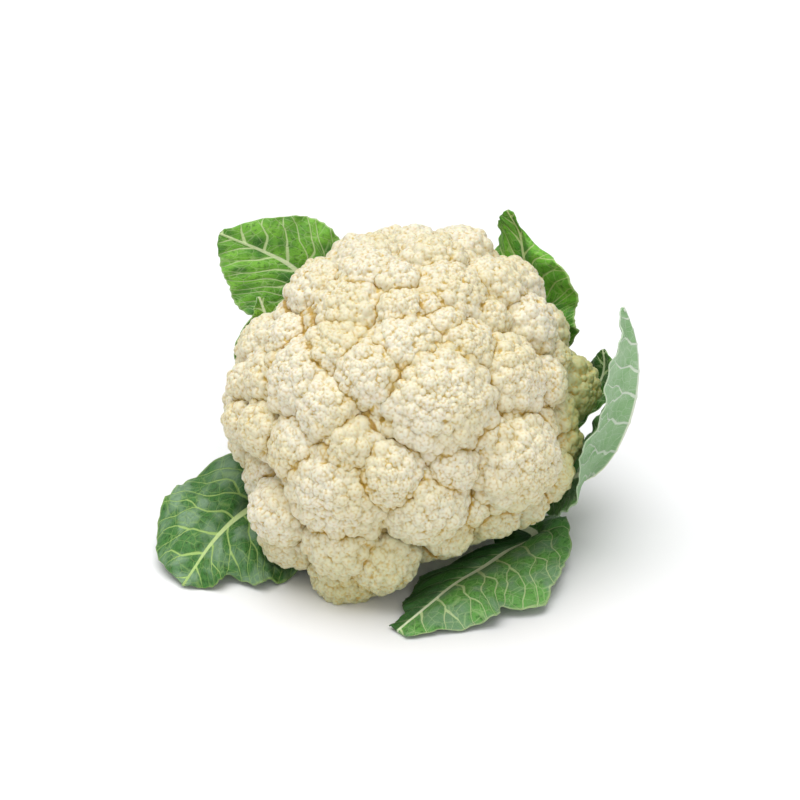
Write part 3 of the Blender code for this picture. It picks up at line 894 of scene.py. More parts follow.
@dataclass
class Curd:
    """The beaded florets of the head, as closed shells gathered into a few pieces."""

    lie: Lie
    dome: Dome
    finish: CurdFinish = field(default_factory=CurdFinish)
    pieces: int = 6
    triangles: int = 740_000
    front_weight: float = 3.0
    front_facing: tuple[float, float] = (-0.35, 0.25)
    fewest_cuts: int = 3
    most_cuts: int = 24
    crown_height: float = 0.72
    seed: int = 5
    widest: float = math.radians(118)
    growth: float = 1.25
    lobe_first: float = 2.5 * MM
    lobe_last_share: float = 0.25
    lobe_last_least: float = 3.0 * MM
    lobe_sizes: tuple[float, ...] = (1.30, 1.05, 0.82, 0.65, 0.50)
    lobe_crowding: float = 0.73
    lobe_tries: float = 0.15
    lobe_sink: float = 0.80
    lobe_sink_large: float = 0.66
    lobe_large: tuple[float, float] = (2 * MM, 5 * MM)
    lobe_proud: float = 0.12
    core_sink: float = 0.42
    core_relief: tuple[float, float] = (0.45, 0.5)
    bead_least: float = 2.1 * MM
    bead_first: float = 1.10 * MM
    bead_most: float = 2.1 * MM
    bead_last_share: float = 0.40
    bead_widest: float = math.radians(104)
    bead_packing: float = 0.64
    bead_sink: float = 0.68
    bead_growth_least: float = 1.1
    most_drop: float = 1.9
    swing: float = 0.18
    shift: float = 0.18
    shift_least_sine: float = 0.15
    filler: float = 0.12
    filler_top: float = 0.74
    fuller: float = 0.05
    fuller_on_top: float = 0.28
    top_level: float = 88 * MM
    top_run: float = 12 * MM
    top_facing: tuple[float, float] = (0.30, 0.60)
    seam_inside: float = -0.5 * MM
    seam_reach: float = 5.0 * MM
    # painted shade: a floret sunk deeper than this gets this much seam shade all over
    sunk_rise: float = -2.5 * MM
    sunk_painted_shade: float = 0.22
    probes: int = 600
    overlap: float = 0.97
    shown_share: float = 0.97
    hidden_reach: float = 0.4
    spare_angle: float = 0.16
    most_angle: float = 2.0
    even_angle: float = math.radians(128)
    least_squeeze: float = 0.30
    chunk: int = 4000

    def __post_init__(self) -> None:
        """Places the florets."""
        self.florets = self.grown_together(self.dome.florets())
        self.middles, self.radii = balls_of(self.florets)

    def facing(self, florets: list[Floret]) -> Array:
        """How squarely each floret's axis points at the viewer, from -1 to 1.

        Args:
            florets: the florets.

        Returns:
            A number for each.
        """
        turned = self.lie.grown().to_3x3().to_4x4()
        ways = moved(np.array([floret.way for floret in florets]), turned)
        return ways @ self.lie.towards_viewer

    def grown_together(self, florets: list[Floret]) -> list[Floret]:
        """Makes the florets broader but no higher, so that the seams between them are shallower.

        Args:
            florets: the florets of the dome.

        Returns:
            The broader florets, in the same order.
        """
        placed = moved(balls_of(florets)[0], self.lie.placed())
        high = ramp(placed[:, 2], self.top_level, self.top_level + self.top_run)
        top = high * ramp(self.facing(florets), *self.top_facing)
        found = []
        for floret, share in zip(florets, top):
            more = floret.radius * (self.fuller + (self.fuller_on_top - self.fuller) * share)
            middle = floret.middle - floret.way * more
            found.append(Floret(floret.way, floret.radius + more, floret.rise, middle))
        return found

    def lobe_last(self, floret: Floret) -> float:
        """The radius of the lobes at a floret's rim."""
        return max(floret.radius * self.lobe_last_share, self.lobe_last_least)

    def scatter(self, radius: float, last: float, draw: np.random.Generator) -> Spread:
        """Strews lobes over a ball, large ones first and small ones in the gaps between them.

        Args:
            radius: the ball's radius.
            last: the lobe radius at the widest angle.
            draw: the source of randomness.

        Returns:
            The angle from the pole, the turn about it and the radius of each lobe.
        """
        kept: list[tuple[float, float, float]] = []
        spots = np.empty((0, 3))
        sizes = np.empty(0)
        for share in self.lobe_sizes:
            angle, turn, size = self.spiral(
                radius, self.widest, self.lobe_first * share, last * share, self.lobe_tries, draw
            )
            ways = np.stack([
                np.sin(angle) * np.cos(turn), np.sin(angle) * np.sin(turn), np.cos(angle),
            ], axis=1)
            for number in draw.permutation(len(angle)):
                apart = np.linalg.norm(spots - ways[number], axis=1) * radius
                if np.all(apart > self.lobe_crowding * (sizes + size[number])):
                    kept.append((angle[number], turn[number], size[number]))
                    spots = np.vstack([spots, ways[number]])
                    sizes = np.append(sizes, size[number])
        angles, turns, radii = np.array(kept).T
        return angles, turns, radii

    def spiral(
        self, radius: float, widest: float, first: float, last: float, packing: float,
        draw: np.random.Generator,
    ) -> Spread:
        """Places beads on a ball along a golden spiral, small at its pole and larger outwards.

        Args:
            radius: the ball's radius.
            widest: how far from the pole the beads go.
            first: the bead radius at the pole.
            last: the bead radius at the widest angle.
            packing: the share of a bead's disc that each one takes up.
            draw: the source of the small random shifts.

        Returns:
            The angle from the pole, the turn about it and the radius of each bead.
        """
        angles, sizes = [], []
        drop = 0.0
        while (angle := math.acos(1 - min(drop, self.most_drop))) <= widest:
            size = first + (last - first) * (angle / widest) ** self.growth
            angles.append(angle)
            sizes.append(size)
            drop += packing * size * size / (2 * radius * radius)
        count = len(angles)
        turns = np.arange(count) * GOLDEN_ANGLE + draw.uniform(0, 2 * math.pi)
        sizes = np.array(sizes) * draw.uniform(1 - self.swing, 1 + self.swing, count)
        shift = draw.normal(0, self.shift, (2, count)) * sizes / radius
        angles = np.array(angles) + shift[0]
        turns = turns + shift[1] / np.maximum(np.sin(angles), self.shift_least_sine)
        return np.abs(angles), turns, sizes

    def beads(self, floret: Floret, draw: np.random.Generator) -> Beads:
        """Places the lobes of a floret, the beads on them and the fillers inside them.

        Args:
            floret: the floret.
            draw: the source of random shifts.

        Returns:
            The balls; a lobe too small for beads is one ball.
        """
        angle, turn, size = self.scatter(floret.radius, self.lobe_last(floret), draw)
        axis = around(np.repeat(floret.way[None], len(angle), 0), angle, turn)
        proud = draw.normal(0, self.lobe_proud, len(size)) * size
        large = ramp(size, *self.lobe_large)
        sink = self.lobe_sink + (self.lobe_sink_large - self.lobe_sink) * large
        centre = axis * (floret.radius - sink * size + proud)[:, None]
        rows = []
        for number, lobe in enumerate(size):
            spot, pole = centre[number][None], axis[number][None]
            if lobe < self.bead_least:
                rows.append((spot, [lobe], pole, [1.0], [number]))
                continue
            last = max(lobe * self.bead_last_share, self.bead_first * self.bead_growth_least)
            angle, turn, radii = self.spiral(
                lobe, self.bead_widest, self.bead_first, min(last, self.bead_most),
                self.bead_packing, draw,
            )
            count = len(radii)
            ways = around(np.repeat(pole, count, 0), angle, turn)
            spots = centre[number] + ways * (lobe - self.bead_sink * radii)[:, None]
            filler = lobe - self.filler * float(radii.mean())
            rows.append((spots, radii, ways, [1.0] * count, [number] * count))
            rows.append((spot, [filler], pole, [self.filler_top], [number]))
        centres, radii, axes, tops, owner = (np.concatenate(column) for column in zip(*rows))
        return Beads(centres, radii, axes, tops, centre[owner], size[owner], axis[owner])

    def surface(
        self, floret: Floret, ways: Array, draw: np.random.Generator
    ) -> tuple[Array, Array]:
        """Raises the shell of one floret.

        Args:
            floret: the floret.
            ways: unit vectors from its middle.
            draw: the source of random shifts.

        Returns:
            The points of the shell in the growth frame, and for each one how high it is on its
            bead and on its lobe.
        """
        beads = self.beads(floret, draw)
        inner = np.sum(beads.centre**2, axis=1) - beads.radius**2
        far, best = np.empty(len(ways)), np.empty(len(ways), int)
        for start in range(0, len(ways), self.chunk):
            part = slice(start, start + self.chunk)
            reach = ball_reach(ways[part] @ beads.centre.T, inner)
            best[part] = reach.argmax(axis=1)
            far[part] = reach.max(axis=1)
        angle = np.arccos(np.clip(ways @ floret.way, -1, 1)) / self.widest
        more = self.lobe_last(floret) - self.lobe_first
        size = self.lobe_first + more * np.minimum(angle, 1) ** self.growth
        core = floret.radius - size * self.core_sink
        point = ways * np.maximum(far, core)[:, None]
        high = np.einsum("ij,ij->i", point - beads.centre[best], beads.axis[best])
        high = high / beads.radius[best] * beads.top[best]
        lobe = np.einsum("ij,ij->i", point - beads.lobe_centre[best], beads.lobe_axis[best])
        relief = np.stack([high, lobe / beads.lobe_radius[best]], axis=1)
        relief = np.where((far < core)[:, None], self.core_relief, relief)
        return floret.middle + point, np.clip(relief, 0, 1)

    def exposure(self) -> list[tuple[float, float]]:
        """Measures how much of each floret shows.

        Returns:
            For each, the area that lies outside the others and the core, and the angle from its
            axis within which nearly all of that area is.
        """
        step = np.arange(self.probes)
        angle = np.arccos(1 - 2 * (step + 0.5) / self.probes)
        found = []
        for number, floret in enumerate(self.florets):
            poles = np.repeat(floret.way[None], self.probes, 0)
            ways = around(poles, angle, step * GOLDEN_ANGLE)
            points = floret.middle + ways * floret.radius
            gaps = np.linalg.norm(points[:, None] - self.middles, axis=2)
            gaps = gaps - self.radii * self.overlap
            gaps[:, number] = 1
            far = np.linalg.norm(points, axis=1)
            shown = (gaps.min(axis=1) > 0) & (far > self.dome.core_reach(points / far[:, None]))
            reach = self.hidden_reach
            if shown.any():
                reach = float(np.quantile(angle[shown], self.shown_share))
            found.append((shown.mean() * 4 * math.pi * floret.radius**2, reach))
        return found

    def plan(self) -> list[Cut]:
        """Shares the triangles out by the area that each floret shows, the seen side first.

        Returns:
            How each floret is cut.
        """
        exposed = self.exposure()
        seen = ramp(self.facing(self.florets), *self.front_facing)
        wanted = np.array([area for area, _ in exposed]) * (1 + (self.front_weight - 1) * seen)
        wanted = wanted * self.triangles / wanted.sum()
        found = []
        for count, (_, shown) in zip(wanted, exposed):
            cuts = max(round(math.sqrt(count / BALL_FACES)) - 1, self.fewest_cuts)
            found.append(Cut(min(cuts, self.most_cuts), shown))
        return found

    def groups(self, plan: list[Cut]) -> list[list[int]]:
        """The florets of each piece by number, gathered so that the pieces are about as large.

        Args:
            plan: how each floret is cut.

        Returns:
            The numbers of the florets of each piece.
        """
        total = sum(cut.faces() for cut in plan)
        log.info("%d florets, %d triangles", len(plan), total)
        ways = [floret.way for floret in self.florets]
        order = sorted(
            range(len(ways)),
            key=lambda n: (ways[n][2] < self.crown_height, math.atan2(ways[n][1], ways[n][0])),
        )
        found: list[list[int]] = [[]]
        filled = 0
        for number in order:
            size = plan[number].faces()
            full = filled + size / 2 > total / self.pieces * len(found)
            if full and len(found) < self.pieces:
                found.append([])
            found[-1].append(number)
            filled += size
        return found

    def build(self) -> None:
        """Makes the florets and gathers them into pieces."""
        plan = self.plan()
        fineness = sorted({cut.cuts for cut in plan})
        balls = {cuts: Ball.cut(f"ball {cuts}", cuts) for cuts in fineness}
        material = self.finish.material()
        for place, group in enumerate(self.groups(plan), 1):
            self.build_piece(f"florets_{place}", {n: plan[n] for n in group}, balls, material)
        for ball in balls.values():
            bpy.data.meshes.remove(ball.mesh)

    def build_piece(
        self, name: str, group: dict[int, Cut], balls: dict[int, Ball],
        material: bpy.types.Material,
    ) -> None:
        """Makes one piece of several florets.

        Args:
            name: the piece's name.
            group: how each of its florets is cut, by the floret's number.
            balls: the even balls by their number of cuts.
            material: the finish.
        """
        bm = bmesh.new()
        points, values = [], []
        for number, cut in group.items():
            bm.from_mesh(balls[cut.cuts].mesh)
            draw = np.random.default_rng([self.seed, number])
            ways = self.gathered(self.florets[number].way, balls[cut.cuts].ways, cut.shown)
            shell, relief = self.surface(self.florets[number], ways, draw)
            points.append(shell)
            values.append(np.column_stack([relief, self.depth_between(shell, number)]))
        mesh = finished(bm, name)
        placed = moved(np.concatenate(points), self.lie.placed())
        write_points(mesh, above_table(placed))
        write_values(mesh, "relief", np.concatenate(values))
        add_piece(name, mesh, material, Slot.CURD, "head")

    def gathered(self, axis: Array, ways: Array, shown: float) -> Array:
        """Turns a ball's unit vectors to an axis and crowds them round it, where they show.

        Args:
            axis: the axis.
            ways: the ball's unit vectors, even all round.
            shown: how far from the axis the floret shows.

        Returns:
            The unit vectors.
        """
        reach = min(shown + self.spare_angle, self.most_angle)
        squeeze = math.tan(reach / 2) / math.tan(self.even_angle / 2)
        squeeze = min(max(squeeze, self.least_squeeze), 1.0)
        polar = np.arccos(np.clip(ways[:, 2], -1, 1))
        polar = 2 * np.arctan(squeeze * np.tan(polar / 2))
        bearing = np.arctan2(ways[:, 1], ways[:, 0])
        return around(np.repeat(axis[None], len(ways), 0), polar, bearing)

    def depth_between(self, points: Array, number: int) -> Array:
        """How deep in the seams round a floret each of its points is, from 0 to 1, with a share of
        painted shade added all over a sunken floret.

        Args:
            points: the points of the floret's shell.
            number: the floret's number.

        Returns:
            The depth at each point.
        """
        floret = self.florets[number]
        near = np.linalg.norm(self.middles - floret.middle, axis=1) < self.radii + floret.radius
        near[number] = False
        sunk_shade = self.sunk_painted_shade if floret.rise < self.sunk_rise else 0.0
        if not near.any():
            return np.full(len(points), sunk_shade)
        gaps = np.linalg.norm(points[:, None] - self.middles[near], axis=2) - self.radii[near]
        deep = 1 - ramp(gaps.min(axis=1), self.seam_inside, self.seam_reach)
        return np.clip(deep + sunk_shade, 0, 1)


@dataclass
class Branches:
    """The pale body under the florets, furrowed where the branches part."""

    lie: Lie
    dome: Dome
    finish: BranchFinish = field(default_factory=BranchFinish)
    cuts: int = 18

    def build(self) -> None:
        """Makes the body from a ball."""
        ball = Ball.cut("branches", self.cuts)
        reach = self.dome.core_reach(ball.ways)
        points = moved(ball.ways * reach[:, None], self.lie.placed())
        write_points(ball.mesh, above_table(points))
        add_piece("branches", ball.mesh, self.finish.material(), Slot.CURD, "head")


@dataclass(frozen=True)
class LeafShape:
    """One leaf: its foot on the stem, its stations on the table and the ways of its margin.

    Each station is the midrib, the left margin and the right margin in millimetres. A notch is
    its side, its place along the blade, its half width and its depth in millimetres. The blade
    strays from its stations by so many millimetres at the tip.
    """

    name: str
    foot: float
    stations: tuple[tuple[Spot, Spot, Spot], ...]
    wave: float
    waves: int
    arch: float
    tooth: float
    phase: float
    finish: LeafFinish
    lobes: float = 1.2
    lobe_run: float = 17.0
    notches: tuple[tuple[float, float, float, float], ...] = ()
    # the half of the blade that lies in shadow and is painted darker: 1 the right, -1 the left, 0
    # neither
    shaded_side: int = 0
    puff: float = 1.1 * MM
    strayed: Spot = (0.0, 0.0, 0.0)
    level: float = -46 * MM


@dataclass
class Leaf:
    """A leaf blade on its stalk, with a midrib and side veins that stand out."""

    lie: Lie
    shape: LeafShape
    guards: tuple[Array, Array]
    dome: Dome
    stem_radius: float = 20 * MM
    touch_gap: float = 0.35 * MM
    stalk_half: float = 6.0 * MM
    stalk_thick: float = 6.2 * MM
    stalk_edge: float = 1.0 * MM
    stalk_run: float = 14 * MM
    rib_end_half: float = 0.9 * MM
    rib_end_thick: float = 1.5 * MM
    rib_taper: float = 1.4
    blade_thick: float = 0.75 * MM
    edge_thick: float = 0.60 * MM
    cell: float = 1.05 * MM
    free_share: float = 1 / 6
    side_phase: float = 2.1
    clearance: float = 1.7 * MM
    look_round: float = math.radians(2.8)
    vein_rise: float = 0.35 * MM
    rib_rise: float = 0.5 * MM
    crest_share: float = 0.45
    profile_share: float = 1.12
    rib_share: float = 0.70
    outer_rib_share: float = 0.8
    vein_half_mm: float = 0.8
    puff_run_mm: float = 2.8
    flank_share: float = 0.9
    flank_run: float = 4 * MM
    base_run: float = 12 * MM
    ripple_rise: float = 0.7 * MM
    ripple_rate: float = 3.3
    warp_from_mm: tuple[float, float] = (2, 10)
    shade_from: tuple[float, float] = (0.02, 0.25)
    tooth_pitch_mm: float = 4.6
    tooth_drift_mm: float = 11.0
    lobe_drift_mm: float = 8.0
    margin_start_mm: float = 8.0
    fewest_columns: int = 8

    def __post_init__(self) -> None:
        """Lays the curves of the midrib and the margins through their stations."""
        bearing = math.radians(self.shape.foot)
        out = np.array([math.cos(bearing), math.sin(bearing), 0])
        side = np.array([math.sin(bearing), -math.cos(bearing), 0]) * self.stalk_half
        foot = out * (self.stem_radius + self.touch_gap) + [0, 0, self.shape.level]
        stalk = [[p, p - side, p + side] for p in (foot, foot + out * self.stalk_run)]
        stalk = moved(np.array(stalk), self.lie.grown())
        self.curves = np.concatenate([stalk, np.array(self.shape.stations) * MM])
        steps = np.linalg.norm(np.diff(self.curves[:, 0], axis=0), axis=1)
        self.knots = np.concatenate([[0], np.cumsum(steps)])
        self.blade_start = self.knots[2]
        self.length = self.knots[-1]

    def curve(self, which: int, place: Array) -> Array:
        """Points of the midrib (0), the left margin (1) or the right margin (2).

        Args:
            which: the number of the curve.
            place: the places along the leaf.

        Returns:
            A point for each place.
        """
        points = self.curves[:, which]
        slopes = np.gradient(points, self.knots, axis=0)
        cell = np.clip(np.searchsorted(self.knots, place, side="right") - 1, 0, len(points) - 2)
        span = (self.knots[cell + 1] - self.knots[cell])[:, None]
        t = (place - self.knots[cell])[:, None] / span
        return (
            (1 + 2 * t) * (1 - t) ** 2 * points[cell]
            + t * (1 - t) ** 2 * span * slopes[cell]
            + t**2 * (3 - 2 * t) * points[cell + 1]
            + t**2 * (t - 1) * span * slopes[cell + 1]
        )

    def inner_normal(self, place: Array) -> Array:
        """The unit normal of the inner face at the midrib.

        Args:
            place: the places along the leaf.

        Returns:
            A unit vector for each place.
        """
        step = 0.5 * MM
        inside = np.clip(place, 0, self.length - 6 * MM)
        across = self.curve(2, inside) - self.curve(1, inside)
        ahead = self.curve(0, np.minimum(place + step, self.length))
        behind = self.curve(0, np.maximum(place - step, 0))
        return unit(np.cross(across, ahead - behind))

    def rib(self, place: Array) -> tuple[Array, Array]:
        """Half width and thickness of the stalk and of the rib that it becomes.

        Args:
            place: the places along the leaf.

        Returns:
            The half width and the thickness at each.
        """
        left = (1 - np.clip(place / self.length, 0, 1)) ** self.rib_taper
        half = self.rib_end_half + (self.stalk_half - self.stalk_edge - self.rib_end_half) * left
        return half, self.rib_end_thick + (self.stalk_thick - self.rib_end_thick) * left

    def clear_of_head(self, points: Array) -> Array:
        """Pushes points that come too near a floret or the core straight out of the head.

        Args:
            points: the points of the leaf.

        Returns:
            The points, clear of the head.
        """
        inverse = self.lie.grown().inverted()
        grown = moved(points, inverse)
        far = np.linalg.norm(grown, axis=1)
        ways = grown / far[:, None]
        side, other = frames_of(ways)
        reach = self.head_reach(ways)
        for angle in np.linspace(0, 2 * math.pi, 8, endpoint=False):
            near = side * math.cos(angle) + other * math.sin(angle)
            reach = np.maximum(reach, self.head_reach(unit(ways + self.look_round * near)))
        grown = ways * np.maximum(far, reach + self.clearance)[:, None]
        return moved(grown, self.lie.grown())

    def head_reach(self, ways: Array) -> Array:
        """How far the florets or the core reach along each unit vector.

        Args:
            ways: the unit vectors.

        Returns:
            The distances.
        """
        centres, radii = self.guards
        reach = ball_reach(ways @ centres.T, np.sum(centres**2, axis=1) - radii**2)
        return np.maximum(reach.max(axis=1), self.dome.core_reach(ways))

    def margin_shift(self, q: Array, along: Array) -> Array:
        """How far the margin's teeth, lobes and notches move a point away from the midrib.

        Args:
            q: the share of the half width, below zero on the left.
            along: the place along the blade in millimetres.

        Returns:
            The shift of each point, in metres.
        """
        shape = self.shape
        out = np.abs(q)
        side = np.where(q < 0, -1, 1)
        pitch = along / self.tooth_pitch_mm + np.sin(along / self.tooth_drift_mm) * 0.8 + side * 0.2
        teeth = shape.tooth * ((np.abs(pitch % 1 - 0.5) * 2) ** 1.5 - 0.4) * out**14
        drift = 0.15 * np.sin(along / self.lobe_drift_mm)
        wander = along / shape.lobe_run + shape.phase + side * 0.21 + drift
        lobes = shape.lobes * (np.abs(np.sin(math.pi * wander)) ** 0.6 - 1) * out**5
        shift = teeth + lobes
        for on, at, half, deep in shape.notches:
            shift = shift - (side == on) * deep * np.exp(-((along - at) / half) ** 2) * out**3
        return shift * MM * ramp(along, 0, self.margin_start_mm)

    def grid(self) -> tuple[bpy.types.Mesh, Array, Array]:
        """A flat grid, and the share of the half width and the place along of each vertex.

        Returns:
            The mesh, the shares and the places.
        """
        breadth = np.linalg.norm(self.curves[:, 2] - self.curves[:, 1], axis=1).max()
        columns = 2 * max(round(breadth / 2 / self.cell), self.fewest_columns)
        rows = round(self.length / self.cell)
        bm = bmesh.new()
        bmesh.ops.create_grid(bm, x_segments=columns, y_segments=rows, size=1)
        flat = np.array([v.co for v in bm.verts])
        mesh = finished(bm, self.shape.name)
        return mesh, flat[:, 0], (flat[:, 1] + 1) / 2 * self.length

    def warped(self, q: Array, place: Array, span: Array) -> tuple[Array, Array]:
        """Where points are along and across the blade, drawn askew so that the veins wander.

        Args:
            q: the share of the half width, below zero on the left.
            place: the place along the leaf.
            span: the half width of the leaf there.

        Returns:
            The places along and across, in millimetres.
        """
        along, across = (place - self.blade_start) / MM, q * span / MM
        off = ramp(np.abs(across), *self.warp_from_mm)
        ahead = 1.6 * np.sin(along / 9.0 + across / 13.0 + self.shape.phase * 7)
        aside = 1.3 * np.sin(across / 8.0 - along / 15.0 + self.shape.phase * 5) * off
        return along + ahead * off, across + aside

    def thickened(self, mesh: bpy.types.Mesh, depth: Array) -> bpy.types.Mesh:
        """Makes a sheet solid and removes it.

        Args:
            mesh: the sheet, which is the inner face.
            depth: the thickness at each of its vertices.

        Returns:
            The solid's mesh: the sheet's vertices, then those of the outer face.
        """
        leaf = bpy.data.objects.new(self.shape.name, mesh)
        bpy.context.scene.collection.objects.link(leaf)
        group = leaf.vertex_groups.new(name="thickness")
        most = float(depth.max())
        for number, value in enumerate(depth):
            group.add([number], value / most, "REPLACE")
        shell = leaf.modifiers.new("thickness", "SOLIDIFY")
        shell.thickness = most
        shell.offset = -1
        shell.vertex_group = "thickness"
        graph = bpy.context.evaluated_depsgraph_get()
        solid = bpy.data.meshes.new_from_object(leaf.evaluated_get(graph))
        bpy.data.objects.remove(leaf)
        bpy.data.meshes.remove(mesh)
        write_points(solid, above_table(read_points(solid)))
        return solid

    def build(self) -> None:
        """Makes the leaf: a fine grid laid along its curves and given its thickness."""
        shape = self.shape
        mesh, q, place = self.grid()
        out = np.abs(q)
        mid = self.curve(0, place)
        reach = np.where(q[:, None] < 0, self.curve(1, place), self.curve(2, place)) - mid
        span = np.linalg.norm(reach, axis=1)
        off = out * span
        blade = np.clip((place - self.blade_start) / (self.length - self.blade_start), 0, 1)
        free = np.clip(blade / self.free_share, 0, 1) * np.clip((1 - blade) / self.free_share, 0, 1)
        along, across = self.warped(q, place, span)
        near = shape.finish.veins(along, across)
        half, thick = self.rib(place)
        on_blade = ramp(place, self.blade_start, self.blade_start + self.base_run)

        turn = 2 * math.pi * (shape.waves * blade + shape.phase) + (q < 0) * self.side_phase
        wave = shape.wave * MM * free * q**2 * np.sin(turn)
        ripple = self.ripple_rise * free * q**4 * np.sin(turn * self.ripple_rate + 1.0)
        arch = shape.arch * span * np.sin(math.pi * out) * free
        flank = half * self.flank_share
        bulge = shape.puff * (1 - np.exp(-near / self.puff_run_mm)) * on_blade
        bulge = bulge * ramp(off, flank, flank + self.flank_run) * (1 - out**6)
        crest = self.rib_rise * np.exp(-(off / (half * self.crest_share)) ** 2) * on_blade
        lift = wave + ripple + arch + bulge + crest

        points = mid + reach * out[:, None] + self.inner_normal(place) * lift[:, None]
        points += unit(reach) * self.margin_shift(q, along)[:, None]
        points += np.array(shape.strayed) * MM * np.sqrt(blade)[:, None]
        points = self.clear_of_head(points)
        profile = np.sqrt(np.clip(1 - (off / (half * self.profile_share)) ** 2, 0, 1))
        skin = self.edge_thick + (self.blade_thick - self.edge_thick) * (1 - out**4)
        raised = self.vein_rise * np.exp(-(near / self.vein_half_mm) ** 2) * on_blade * (1 - out**2)
        depth = skin + np.maximum(thick - skin, 0) * profile + raised
        points[:, 2] = np.maximum(points[:, 2], depth)
        write_points(mesh, moved(points, self.lie.on_table()))

        solid = self.thickened(mesh, depth)
        lay = np.column_stack([along, across, out])
        # painted shade on the half that lies in shadow, carried to the material
        shaded = (q * shape.shaded_side > 0) * ramp(out, *self.shade_from)
        inner = np.column_stack([np.zeros(len(q)), half / MM * self.rib_share, shaded])
        outer = np.column_stack([np.ones(len(q)), half / MM * self.outer_rib_share, shaded])
        write_values(solid, "blade", np.concatenate([lay, lay]))
        write_values(solid, "side", np.concatenate([inner, outer]))
        add_piece(f"{shape.name}_blade", solid, shape.finish.material(), Slot.LEAF, shape.name)


